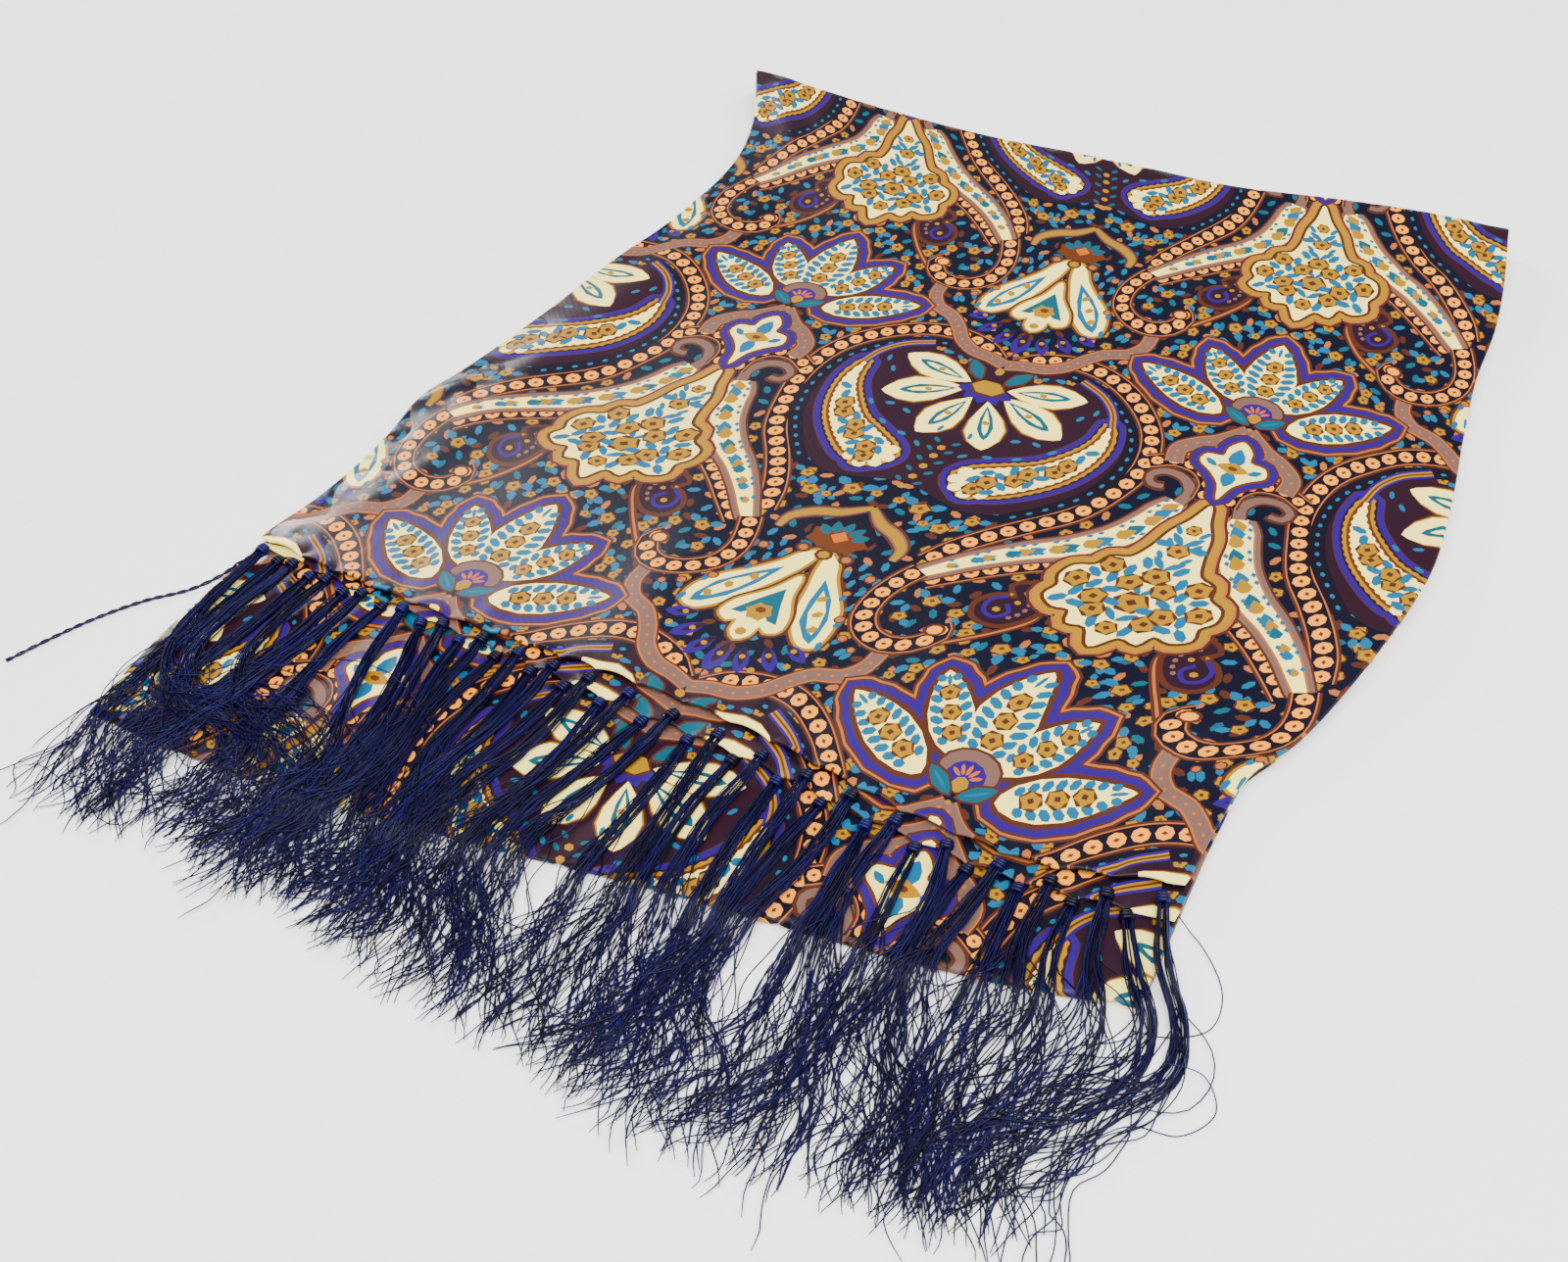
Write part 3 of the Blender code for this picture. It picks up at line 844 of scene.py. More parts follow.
draw_daisy_petals()
draw_daisy_middle()
draw_sprigs(DAISY_SPRIGS, 3.2, 1.7)
for stud in HEART_STUDS:
    round_shape((0, stud), 2.6, 2.3, "mustard", points=6, twin=False)
    leaf((1.8, stud + 2), (4.2, stud + 3.6), 1.6, "teal", points=3)
tell("daisy")

# %% [markdown]
# ## The arch over the tulip
#
# Below the tip of the heart a mustard arch roofs the next flower. Its band swells in the middle and
# thins out at both ends.

# %% The arch
ARCH = ((17.5, 67), (17, 72), (12, 76.5), (6, 79), (0, 84))
ARCH_ENDS = 0.25        # radians of a half turn that are cut off at each end of the swelling

arch = route(ARCH, step=1.8)
swelling = np.sin(np.linspace(ARCH_ENDS, math.pi - ARCH_ENDS, len(arch))) ** 0.5
stripes(arch, ((5.4 * swelling, "brown"), (3.9 * swelling, "mauve"), (2.7 * swelling, "mustard")))
tell("arch")

# %% [markdown]
# ## The tulip
#
# The tulip hangs under the arch: a rust cap with teal leaves, a long cream petal at each side, a bell
# between them and a fan of violet feathers below.

# %% The cap and the petals of the tulip
TULIP_SIDE = (
    (1.2, 63), (5.5, 60.5), (8.5, 55), (13, 49.5), (18.5, 43.5), (21.5, 36.5), (21, 30.5), (16.5, 29.5),
    (11.5, 34), (7.5, 41), (4.4, 48.5), (1.8, 56),
)
TULIP_BELL = ((0, 52), (3.5, 44), (8.5, 37), (9.5, 31.5), (6, 29.5), (3.6, 31), (3.0, 27), (0, 24.5))
BELL_LEAF = ((0, 46), (3.4, 40), (7.2, 33.2), (4.2, 33.4), (0, 37))


def draw_tulip_cap():
    round_shape((0, 71), 19, 13.5, "dusk", points=14, twin=False)
    round_shape((0, 68.5), 17, 10, "rust", points=14, lobes=7, depth=0.1, twin=False)
    for degrees in range(30, 151, 30):
        leaf(spoke((0, 68), degrees, 4, 3), spoke((0, 69), degrees, 8.4, 7.2), 3.0, "teal", twin=False)
    round_shape((0, 69.5), 4.6, 4.2, "orange", points=8, lobes=4, depth=0.15, twin=False)


def draw_tulip_petals():
    edged(loop(TULIP_SIDE, step=1.8), ((1.7, "brown"), (0.9, "mustard"), (0.0, "cream")))
    add(petal((6.2, 53.5), (19.0, 31.0), 7.2, 0.6, points=5), "sky")
    add(petal((8.6, 49.5), (17.6, 34), 4.4, 0.6, points=4), "cream")
    for place in ((10.6, 46.5), (14.0, 41.0), (16.6, 35.8)):
        round_shape(place, 3.2, 2.6, "mustard", 0.8, points=5)
    bell = loop(mirrored(TULIP_BELL), step=1.6)
    edged(bell, ((1.6, "brown"), (0.8, "mustard"), (0.0, "cream")), twin=False)
    add(mirrored(BELL_LEAF), "teal", twin=False)
    round_shape((0, 35.6), 7.2, 6.4, "mustard", points=12, lobes=6, depth=0.12, twin=False)
    round_shape((0, 36.4), 3.2, 2.4, "rust", points=6, twin=False)
    round_shape((0, 27.6), 3.4, 3.0, "mustard", points=7, twin=False)


draw_tulip_cap()
draw_tulip_petals()
tell("tulip")

# %% The neck, the fan and the sprigs of the tulip
Feather = namedtuple("Feather", "s t tip_s tip_t width")
TULIP_FAN = (
    Feather(0, 23, 0, 12, 6.5),
    Feather(4.5, 23.5, 8.5, 14.5, 4.6),
    Feather(9.5, 26, 16, 18.5, 4.4),
    Feather(14, 28.5, 22, 25, 4.0),
)
TULIP_SPRIGS = (
    Sprig(13, 53, 90),
    Sprig(16.5, 51, 60),
    Sprig(10.5, 56, 110),
    Sprig(15, 47.5, 100),
    Sprig(18.5, 45, 70),
    Sprig(21, 38.5, 95),
    Sprig(24, 33.5, 60),
    Sprig(22, 29.5, 100),
    Sprig(26, 38.5, 80),
    Sprig(25.5, 46.5, 120),
    Sprig(12, 60, 80),
    Sprig(19, 56, 95),
    Sprig(29, 30, 60),
)
TULIP_BERRIES = (
    Lobe(16.5, 58.5, 3.2),
    Lobe(14.5, 51.0, 2.4),
    Lobe(20, 42, 2.8),
    Lobe(25.5, 36.5, 2.8),
    Lobe(30, 34, 2.4),
)


def draw_tulip_neck():
    round_shape((6.6, 62.5), 4.6, 4.0, "brown", points=9)
    round_shape((6.6, 62.5), 2.8, 2.4, "shell", points=7)
    round_shape((0, 62), 5.4, 4.6, "brown", points=9, twin=False)
    round_shape((0, 62), 3.4, 3.0, "mustard", points=7, twin=False)


def draw_tulip_fan():
    for row in TULIP_FAN:
        twin = row.s > 0
        across, along = row.tip_s - row.s, row.tip_t - row.t
        eye_tip = (row.s + 0.7 * across, row.t + 0.7 * along)
        leaf((row.s, row.t), (row.tip_s, row.tip_t), row.width, "violet", 0.55, points=5, twin=twin)
        leaf((row.s, row.t), eye_tip, row.width * 0.5, "plum", twin=twin)
        round_shape((row.s + 0.38 * across, row.t + 0.38 * along), 1.9, 1.7, "mustard", points=6, twin=twin)
    for place in ((3.6, 13.5), (11, 17), (18.5, 22)):
        round_shape(place, 2.2, 2.0, "mustard", points=6)


draw_tulip_neck()
draw_tulip_fan()
draw_sprigs(TULIP_SPRIGS, 3.8, 2.2)
for berry in TULIP_BERRIES:
    round_shape((berry.s, berry.t), berry.size * 1.2, berry.size * 1.1, "brown", points=7)
    round_shape((berry.s, berry.t), berry.size * 0.85, berry.size * 0.8, "shell", points=6)
tell("neck, fan and sprigs")

# %% [markdown]
# ## The ogee
#
# A mauve ribbon with orange dots waves along the whole cloth and parts it into meshes. One bend of it
# is drawn, and its mirror image and the repeat make the rest.

# %% The ogee
OGEE = ((0, 5.5), (6, 7.5), (12, 8.5), (18, 12.5), (22, 18), (27, 23), (33, 25.5), (37, 31), (37.5, 38))

ogee = route(OGEE, step=2.6)
stripes(ogee, ((5.6, "brown"), (4.6, "shell"), (3.6, "mauve")))
beads(ogee, 3.4, 1.1, 0.9, "orange", eye=None)
tell("ogee")

# %% [markdown]
# ## The long leaf
#
# From the crown down to the tip of the heart sweeps a long cream leaf with a beaded border below it and
# a hooked head. Its width runs out towards the tip, so the band takes one width for each point.

# %% The long leaf and its hook
LEAF_SPINE = ((69, 119), (66.5, 110), (61, 100), (53, 91.5), (44.5, 85), (36, 77), (30, 70), (25.5, 64.5))
LEAF_BORDER = (
    (74.5, 121), (74.5, 112), (71, 102), (64, 92.5), (54.5, 85), (45, 78), (36.5, 70.5), (29, 63.5),
)
HOOK = ((69.5, 118.5), (70.5, 124), (67, 129), (61.5, 130), (58, 127), (59.5, 123.5), (63, 123.5))
HOOK_BORDER = ((74.5, 122), (74, 129), (69.5, 134.5), (62, 135.5), (55.5, 132))
LEAF_WIDTH = 9.0
LEAF_TIP = 0.8


def draw_long_leaf():
    spine = route(LEAF_SPINE, step=2.8)
    share = np.linspace(0, 1, len(spine))
    width = LEAF_WIDTH * np.clip(1.15 - share, 0, 1) ** 0.6 * np.clip(0.25 + share / 0.10, 0, 1) ** 0.5
    width[-1] = LEAF_TIP
    beaded_border(route(LEAF_BORDER, step=3.2), 5.0, pitch=4.7)
    stripes(spine, (
        (width + 4.4, "brown"), (width + 3.2, "mauve"), (width + 0.6, "shell"), (width - 0.4, "cream"),
    ))
    for number, at in enumerate(np.arange(0.04, 0.86, 0.058)):
        point = int(at * (len(spine) - 1))
        s, t = spine[point]
        size = min(4.6, width[point] * 0.62)
        ink = ("mustard", "sky", "mustard", "teal")[number % 4]
        round_shape((s, t), size * 1.15, size * 0.85, ink, 0.9, points=7, lobes=3, depth=0.18)
        for hand in (-1, 1):
            beside = (s + hand * width[point] * 0.27, t + 1.0 - hand * width[point] * 0.20)
            round_shape(beside, 2.1, 1.5, "sky", 0.9, points=4)


def draw_hook():
    hook = route(HOOK, step=1.6)
    stripes(hook, ((4.2, "brown"), (np.linspace(3.4, 1.8, len(hook)), "mauve")))
    beaded_border(route(HOOK_BORDER, step=2.0), 4.2, pitch=4.2)


draw_long_leaf()
draw_hook()
tell("long leaf")

# %% [markdown]
# ## The curl
#
# At its tip the beaded border rolls in and ends in one large bead.

# %% The curl
CURL_WAY = (
    (26, 67), (23.5, 61), (22, 54), (23.5, 46.5), (29, 41), (36, 39.5), (42, 42), (45, 47), (42.5, 50.5),
)
beaded_border(route(CURL_WAY, step=2.8), 5.0, pitch=4.7)
round_shape((43, 48.5), 5.6, 5.0, "brown", points=10)
round_shape((43, 48.5), 4.0, 3.4, "tan")
tell("curl")

# %% [markdown]
# ## The palmette
#
# Between two long leaves hangs a lobed palmette, cream with a mustard rim, on the line where one repeat
# meets the next. It is even, so it has no twin. Flowers stand up its middle and the rest is strewn.

# %% The palmette
PALMETTE = (
    (78, 121), (80.5, 114), (83.5, 108), (85, 101), (87.5, 95), (92, 93), (93.5, 88.5), (98, 86), (99, 81),
    (97, 77), (98, 72.5), (94, 69.5), (89.5, 70), (87.5, 65.5), (82.5, 66), (78, 60),
)
PALMETTE_FLOWERS = ((110.0, 3.8), (101.5, 5.4), (90.5, 6.4), (79.0, 7.8), (68.0, 5.0))     # place up, size


def draw_palmette():
    body = loop(mirrored(PALMETTE, HALF_REPEAT), step=1.7)
    rim = ((4.4, "brown"), (3.6, "shell"), (2.9, "mustard"), (1.0, "brown"), (0.0, "cream"))
    edged(body, rim, twin=False)
    for t, size in PALMETTE_FLOWERS:
        flower((HALF_REPEAT, t), size, twin=False)
    for t in (106.0, 96.0, 85.0, 73.5):
        for hand in (-1, 1):
            leaf((HALF_REPEAT, t - 2.4), (HALF_REPEAT + hand * 4.4, t + 1.8), 2.4, "sky", twin=False)
    for t in (98.5, 104.0, 109.0):
        leaf((80.4, t - 1.6), (82.8, t + 1.8), 2.0, "sky", points=3)
    strew(body, pitch=4.8, size=5.4, margin=1.6, from_s=82.6)


draw_palmette()
tell("palmette")

# %% [markdown]
# ## The crown
#
# Above the palmette a small flower with four lobes sits under an arch of the ogee's own ribbon.

# %% The crown
CROWN_ARCH = ((62, 134.5), (61.5, 141), (66, 146), (71, 149), (78, 155.5))
CROWN = (
    (78, 151), (81.5, 147.5), (82, 143.5), (86.5, 142.5), (87.5, 138.5), (83.5, 135), (80, 130.5), (78, 124),
)


def draw_crown():
    ribbon = route(CROWN_ARCH, step=1.8)
    stripes(ribbon, ((6.4, "brown"), (5.2, "shell"), (4.4, "mauve")))
    beads(ribbon, 3.2, 1.2, 1.0, "orange", eye=None)
    edges = ((3.4, "brown"), (2.8, "violet"), (0.9, "rust"), (0.0, "cream"))
    edged(loop(mirrored(CROWN, HALF_REPEAT), step=1.6), edges, twin=False)
    leaf((HALF_REPEAT, 140), (HALF_REPEAT, 148), 5.0, "sky", 0.4, points=5, twin=False)
    leaf((HALF_REPEAT, 137), (HALF_REPEAT, 130), 4.4, "sky", 0.4, points=5, twin=False)
    round_shape((HALF_REPEAT, 138.8), 8.5, 4.6, "mustard", points=12, lobes=4, depth=0.14, twin=False)
    round_shape((HALF_REPEAT, 138.8), 3.0, 2.0, "rust", points=6, twin=False)
    for hand in (-1, 1):
        leaf((HALF_REPEAT + hand * 4.5, 138), (HALF_REPEAT + hand * 8.2, 140.6), 2.4, "sky", twin=False)


draw_crown()
tell("crown")

# %% [markdown]
# ## The lotus
#
# The lotus is the largest flower, with five cream petals inside one violet outline with a scalloped
# edge. As with the daisy, each edge goes round all the petals before the next is painted. Flowers run
# up each petal and small leaves along its sides.

# %% The lotus
LOTUS = (
    Petal(78, 17.0, 78, 48.0, 16.5, 0.42, False),
    Petal(72, 17.5, 57, 38.5, 11.5, 0.45, True),
    Petal(68, 10.5, 39, 23.5, 12.5, 0.42, True),
)
Edge = namedtuple("Edge", "by tooth ink")
LOTUS_EDGES = (
    Edge(5.0, 0.5, "brown"),
    Edge(4.3, 0.5, "shell"),
    Edge(3.6, 0.5, "brown"),
    Edge(2.9, 0.7, "violet"),
    Edge(1.2, 0.3, "brown"),
)


def fill_petal(row):
    """Mustard flowers up the middle of a cream petal and leaves along its sides."""
    base, tip = ends_of(row)
    axis = tip - base
    length = np.linalg.norm(axis)
    along = axis / length
    side_way = np.array([-along[1], along[0]])
    for share in np.arange(0.14, 0.90, 3.1 / length):
        half = half_width(share, row.width, row.belly)
        for hand in (-1, 1):
            root = base + axis * share + side_way * hand * half * 0.36
            out = along * 2.1 + side_way * hand * (half * 0.56)
            leaf(root, root + out, 2.9, "sky", points=3, twin=row.twin)
    for number, share in enumerate(np.arange(0.26, 0.76, 6.0 / length)):
        flower(base + axis * share, min(5.2, row.width * 0.40), 0.4 * number, row.twin)
    leaf(base + axis * 0.80, base + axis * 0.95, 1.5, "sky", points=3, twin=row.twin)


def draw_lotus_petals():
    for edge in LOTUS_EDGES:
        for row in LOTUS:
            outline = petal(*ends_of(row), row.width, row.belly, points=13)
            teeth = np.abs(np.sin(np.arange(len(outline)) * math.pi / 2 + 0.2))
            add(grow(outline, edge.by + edge.tooth * teeth), edge.ink, row.twin)
    for row in LOTUS:
        add(petal(*ends_of(row), row.width, row.belly, points=8), "cream", row.twin)
        fill_petal(row)


def draw_lotus_middle():
    round_shape((HALF_REPEAT, 15.5), 17, 13, "brown", points=14, twin=False)
    round_shape((HALF_REPEAT, 15.5), 15.4, 11.6, "mauve", points=14, twin=False)
    round_shape((HALF_REPEAT, 14), 10, 8.6, "violet", points=12, twin=False)
    for degrees in range(30, 151, 30):
        root, tip = (spoke((HALF_REPEAT, 13), degrees, *reach) for reach in ((1.4, 1.2), (4.6, 4.4)))
        leaf(root, tip, 1.2, "orange", points=3, twin=False)
    round_shape((HALF_REPEAT, 11.6), 4.2, 4.4, "mustard", twin=False)
    leaf((78.4, 8), (88, 14.2), 5.6, "brown")
    leaf((79, 8.4), (87.2, 13.6), 4.2, "teal")
    leaf((80.5, 9.4), (85.8, 12.7), 1.0, "sky", points=3)


draw_lotus_petals()
draw_lotus_middle()
tell("lotus")

# %% [markdown]
# ## Laying the print on the flat cut
#
# The chart is one repeat. Here it is set out over a piece of the flat cut, as a printer's block is
# moved along the cloth. All the outlines go into one triangulation, and each small triangle takes the
# ink of the last shape painted over it. The print is then in the mesh, with crisp edges at any
# distance, where an image would blur. The triangulation wants every outline turned the same way round:
# one that is turned the other way would claim all the cloth around it.

# %% Laying the print
CUT_LEFT, CUT_RIGHT = -143.0, 137.0     # the pressed edges of the tube, on the chart
BORDER_STEP = 1.8
GRID_STEP = 5.5                         # loose points that let flat ground follow the creases
GROUND_INK = "navy"
INK_NAMES = list(INKS)


def set_out(low, high, wanted):
    """The chart's outlines over a stretch of the cut, in painting order, all turned one way."""
    rows = range(math.floor(low / REPEAT) - 1, math.ceil(high / REPEAT) + 1)
    places = [(across * 2 * HALF_REPEAT, row * REPEAT) for across in (-1, 0, 1) for row in rows]
    set_shapes = []
    for points, ink, twin in shapes:
        for place in places:
            for hand in ((1, -1) if twin else (1,)):
                outline = points * (hand, 1) + place
                lowest, highest = outline.min(0), outline.max(0)
                if highest[0] < CUT_LEFT or lowest[0] > CUT_RIGHT or highest[1] < low or lowest[1] > high:
                    continue
                if wanted and not wanted(lowest, highest):
                    continue
                set_shapes.append((outline if signed_area(outline) > 0 else outline[::-1], ink))
    return set_shapes


def triangulate(outline, set_shapes, grid):
    """Triangles inside the outline, and for each the number of the shape on top, 0 for bare ground."""
    coords = [*outline]
    faces = [list(range(len(outline)))]
    for shape_outline, _ in set_shapes:
        faces.append(list(range(len(coords), len(coords) + len(shape_outline))))
        coords.extend(shape_outline)
    coords.extend(grid)
    vectors = [Vector(place) for place in coords]
    points, _, triangles, _, _, owners = delaunay_2d_cdt(vectors, [], faces, 1, 1e-4, True)
    kept = [number for number, owner in enumerate(owners) if 0 in owner]
    on_top = np.array([max(owners[number]) for number in kept])
    used, renumbered = np.unique([triangles[number] for number in kept], return_inverse=True)
    return np.array(points, float)[used], renumbered.reshape(-1, 3), on_top


def loose_grid(low, high, step):
    """Points inside a stretch of the cut, every second row moved by half a step."""
    return [
        (s + step / 2 * (row % 2), t)
        for row, t in enumerate(np.arange(low + 1.5, high - 1.0, step))
        for s in np.arange(CUT_LEFT + 1.5, CUT_RIGHT - step, step)
    ]


def border_of_cut(low, high):
    """The outline of a stretch of the cut, with a point at every step."""
    s = np.linspace(CUT_LEFT, CUT_RIGHT, round((CUT_RIGHT - CUT_LEFT) / BORDER_STEP) + 1)[:-1]
    t = np.linspace(low, high, round((high - low) / (2 * BORDER_STEP)) + 1)[:-1]
    return np.vstack([
        np.stack([s, np.full(len(s), low)], 1),
        np.stack([np.full(len(t), CUT_RIGHT), t], 1),
        np.stack([CUT_LEFT + CUT_RIGHT - s, np.full(len(s), high)], 1),
        np.stack([np.full(len(t), CUT_LEFT), low + high - t], 1),
    ])


def print_on(low, high, wanted=None):
    """A stretch of the cut, from low to high on the chart: its points, triangles and inks."""
    outline = border_of_cut(low, high)
    set_shapes = set_out(low, high, wanted)
    _, _, on_top = triangulate(outline, set_shapes, [])
    seen = np.unique(on_top[on_top > 0])
    set_shapes = [set_shapes[number - 1] for number in seen]
    points, triangles, on_top = triangulate(outline, set_shapes, loose_grid(low, high, GRID_STEP))
    inks = [INK_NAMES.index(GROUND_INK)] + [INK_NAMES.index(ink) for _, ink in set_shapes]
    return points, triangles, np.array(inks)[on_top]


print("points round a whole repeat of the cut:", len(border_of_cut(0.0, REPEAT)))

# %% [markdown]
# ## From the flat cut to the folded form
#
# Each stretch has a function that takes places on the flat cut and gives points in space: straight
# where the cloth lies, round where it turns over a fold. The print keeps to the pressed edges, as it
# does on the real tube. Normals come from the same function, so that long thin triangles of ground
# shade as smoothly as small ones.

# %% Where the cut lies
HEM_REACH = 80.0        # how far up the cloth a hem's waviness dies out
SCALLOP = 1.3           # how far the hem draws back between two knots
SCALLOP_REACH = 9.0
CURL = 0.9              # how far it curls up there
CURL_REACH = 7.0
TOP_END = 288.0         # length of the upper stretch with the part that rolls round the far fold
LOWER_SLIP = 16.0       # how far the print of the hidden stretches runs on past the upper one's
LOWER_LOW, LOWER_HIGH = -360.0, 288.0
NOSE_LENGTH = 2.2       # of cloth from the middle of the near fold to its flat face
LOWER_ROUND = 0.25      # radius of the hidden pair's rolled edges, as a share of its height
NORMAL_STEP = 0.4

TOP_KNOTS = (
    -137.0, -125.0, -112.0, -99.0, -84.5, -70.5, -57.0, -45.0, -33.5, -22.0, -9.5,
    4.5, 18.5, 32.0, 45.5, 58.5, 71.5, 85.5, 99.0, 111.5, 124.5, 136.5,
)
SECOND_KNOTS = tuple((left + right) / 2 for left, right in zip(TOP_KNOTS, TOP_KNOTS[1:]))

Stretch = namedtuple("Stretch", "layer hem base wall share knots")
TOP = Stretch("top", "upper", TOP_BASE, TOP_WALL, TOP_SHARE, TOP_KNOTS)
SECOND = Stretch("second", "second", SECOND_BASE, SECOND_WALL, SECOND_SHARE, SECOND_KNOTS)


def hem_slack(stretch, across):
    """0 where a knot holds the hem, and 1 half-way between two."""
    knots = np.array(stretch.knots)
    knot_shares = across_share(stretch.layer, knots, np.zeros(len(knots)))
    turns = np.interp(across, knot_shares, np.arange(len(knots)))
    return np.abs(np.sin(np.pi * turns)) ** 0.8


def share_of_cut(cut):
    """How far across the cut a place is: 0 at the left pressed edge and 1 at the right."""
    return (cut[:, 0] - CUT_LEFT) / (CUT_RIGHT - CUT_LEFT)


def place_on_stretch(stretch, cut):
    """Points in space, in millimetres, for places on the cut of a stretch that ends in a hem."""
    across, run = share_of_cut(cut), cut[:, 1]
    slack = hem_slack(stretch, across)
    rim = stretch.wall / 2
    along = run + read(HEMS, stretch.hem, across) * fade(run, HEM_REACH)
    along += (rim + SCALLOP * slack) * fade(run, SCALLOP_REACH)
    fold = read(FAR_FOLD, "along", across)
    y = np.minimum(along, fold)
    left, right = side(stretch.layer, "left", y) + rim, side(stretch.layer, "right", y) - rim
    x = left + across * (right - left)
    z = stretch.base + stretch.wall + stretch.share * lift(x, y) + CURL * slack * fade(run, CURL_REACH)
    turn = np.clip((along - fold) / (TOP_END - fold), 0.0, 1.0) * np.pi
    return np.stack([x, y + FAR_ROLL * np.sin(turn), 0.5 * z * (1.0 + np.cos(turn))], 1)


def lower_past(cut):
    """How far round the near fold a place on the lower cut is: 0 at its very edge, 1 on the flat."""
    run = cut[:, 1] - read(NEAR_FOLD, "along", share_of_cut(cut)) - LOWER_SLIP
    return np.clip(np.abs(run) / NOSE_LENGTH, 0.0, 1.0)


def place_on_lower(cut):
    """Points in space for the hidden stretches: over the near fold, with both faces."""
    across = share_of_cut(cut)
    near = read(NEAR_FOLD, "along", across)
    far = read(FAR_FOLD, "along", across) - FOLD_GAP
    run = cut[:, 1] - near - LOWER_SLIP
    past = lower_past(cut) * np.pi / 2
    flat = np.maximum(np.abs(run) - NOSE_LENGTH, 0.0)
    below = near + LOWER_SLIP - LOWER_LOW - NOSE_LENGTH
    above = LOWER_HIGH - near - LOWER_SLIP - NOSE_LENGTH
    flat *= (far - near - NOSE) / np.where(run < 0, below, above)
    y = near + NOSE * (1.0 - np.cos(past)) + flat
    left, right = side("lower", "left", y), side("lower", "right", y)
    x = left + across * (right - left)
    height = LOWER_HEIGHT + LOWER_SHARE * lift(x, y)
    x += LOWER_ROUND * height * np.sin(past) * (1.0 - 2.0 * across)
    return np.stack([x, y, 0.5 * height * (1.0 + np.sin(past) * np.sign(run))], 1)


def normals_of(place, cut):
    """The outward normals where a placing function puts the cut."""
    across = place(cut + (NORMAL_STEP, 0)) - place(cut - (NORMAL_STEP, 0))
    along = place(cut + (0, NORMAL_STEP)) - place(cut - (0, NORMAL_STEP))
    return unit(np.cross(across, along))


print("knots on the two hems:", len(TOP_KNOTS), "and", len(SECOND_KNOTS))


# %% [markdown]
# ## Making a piece of cloth
#
# A tube that is pressed flat has no cut edge along its sides: the cloth rolls over. So the border of
# the printed face is swept round a half circle, and each step of the sweep keeps the ink of the cloth
# beside it. A plain face closes a stretch below, where the next layer hides it. Every corner of a face
# also keeps its place on the flat cut.

# %% Colours, borders and objects
ROLL_STEPS = 4
BELOW_GRID = 8.0
BELOW_MARGIN = 6.0      # millimetres without loose points at both ends of the face below
BAKE_SIDE = 720.0       # millimetres of cut across the bake's square
BAKE_GAP = 20.0         # between the printed face and the face below, on the bake
BELOW_INK = "plum"

Part = namedtuple("Part", "faces inks corners")     # corners: where each corner of a face lies on the cut


def linear(value):
    """A colour written as on a screen, for the shader."""
    parts = [int(value[place:place + 2], 16) / 255 for place in (0, 2, 4)]
    return [part / 12.92 if part <= 0.04045 else ((part + 0.055) / 1.055) ** 2.4 for part in parts] + [1.0]


def border_ring(triangles):
    """The border's points in order round the piece, and the triangle beside each stretch of it."""
    edges = {}
    for number, (a, b, c) in enumerate(triangles.tolist()):
        edges[a, b] = edges[b, c] = edges[c, a] = number
    ahead = {a: (b, number) for (a, b), number in edges.items() if (b, a) not in edges}
    start = min(ahead)
    ring, beside = [], []
    here = start
    while not ring or here != start:
        ring.append(here)
        here, number = ahead[here]
        beside.append(number)
    return np.array(ring), np.array(beside)


def new_piece(name, points, faces, colours, bake, material):
    """One object, with a colour and a place on the bake for every corner of its faces."""
    mesh = bpy.data.meshes.new(name)
    mesh.from_pydata(points * MM, [], faces)
    mesh.color_attributes.new("ink", "FLOAT_COLOR", "CORNER").data.foreach_set("color", colours.ravel())
    mesh.uv_layers.new(name="OFBake").uv.foreach_set("vector", bake.ravel())
    mesh.shade_smooth()
    mesh.materials.append(material)
    piece = bpy.data.objects.new(name, mesh)
    bpy.context.scene.collection.objects.link(piece)
    print(f"{name}: {sum(len(face) - 2 for face in faces)} triangles")
    return piece


def cloth_piece(name, points, normals, parts, material):
    """A piece of cloth from its points and several parts, without the points that no part uses."""
    used = np.unique(np.concatenate([part.faces.ravel() for part in parts]))
    renumber = np.zeros(len(points), int)
    renumber[used] = np.arange(len(used))
    faces = [face for part in parts for face in renumber[part.faces].tolist()]
    palette = np.array([linear(value) for value in INKS.values()])
    colours = np.vstack([np.repeat(palette[part.inks], part.faces.shape[1], 0) for part in parts])
    flat = np.vstack([part.corners.reshape(-1, 2) for part in parts])
    piece = new_piece(name, points[used], faces, colours, (flat - flat.min(0)) / BAKE_SIDE, material)
    piece.data.normals_split_custom_set_from_vertices(normals[used])
    return piece


print("the bake's square takes", BAKE_SIDE, "mm of cut")

# %% Making a piece of cloth
def face_below(place, edge, rim_at, first):
    """The plain face that closes a stretch below. Its border is the last ring, numbered from first on."""
    low, high = edge[:, 1].min() + BELOW_MARGIN, edge[:, 1].max() - BELOW_MARGIN
    below, triangles, _ = triangulate(edge, [], loose_grid(low, high, BELOW_GRID))
    inner = below[len(edge):]
    normals = normals_of(place, inner)
    points = place(inner) - normals * 2 * rim_at(inner)[:, None]
    faces = triangles[:, ::-1]
    inks = np.full(len(faces), INK_NAMES.index(BELOW_INK))
    turned_over = (2 * CUT_RIGHT + BAKE_GAP, 0) + below * (-1, 1)
    return points, -normals, Part(faces + first, inks, turned_over[faces])


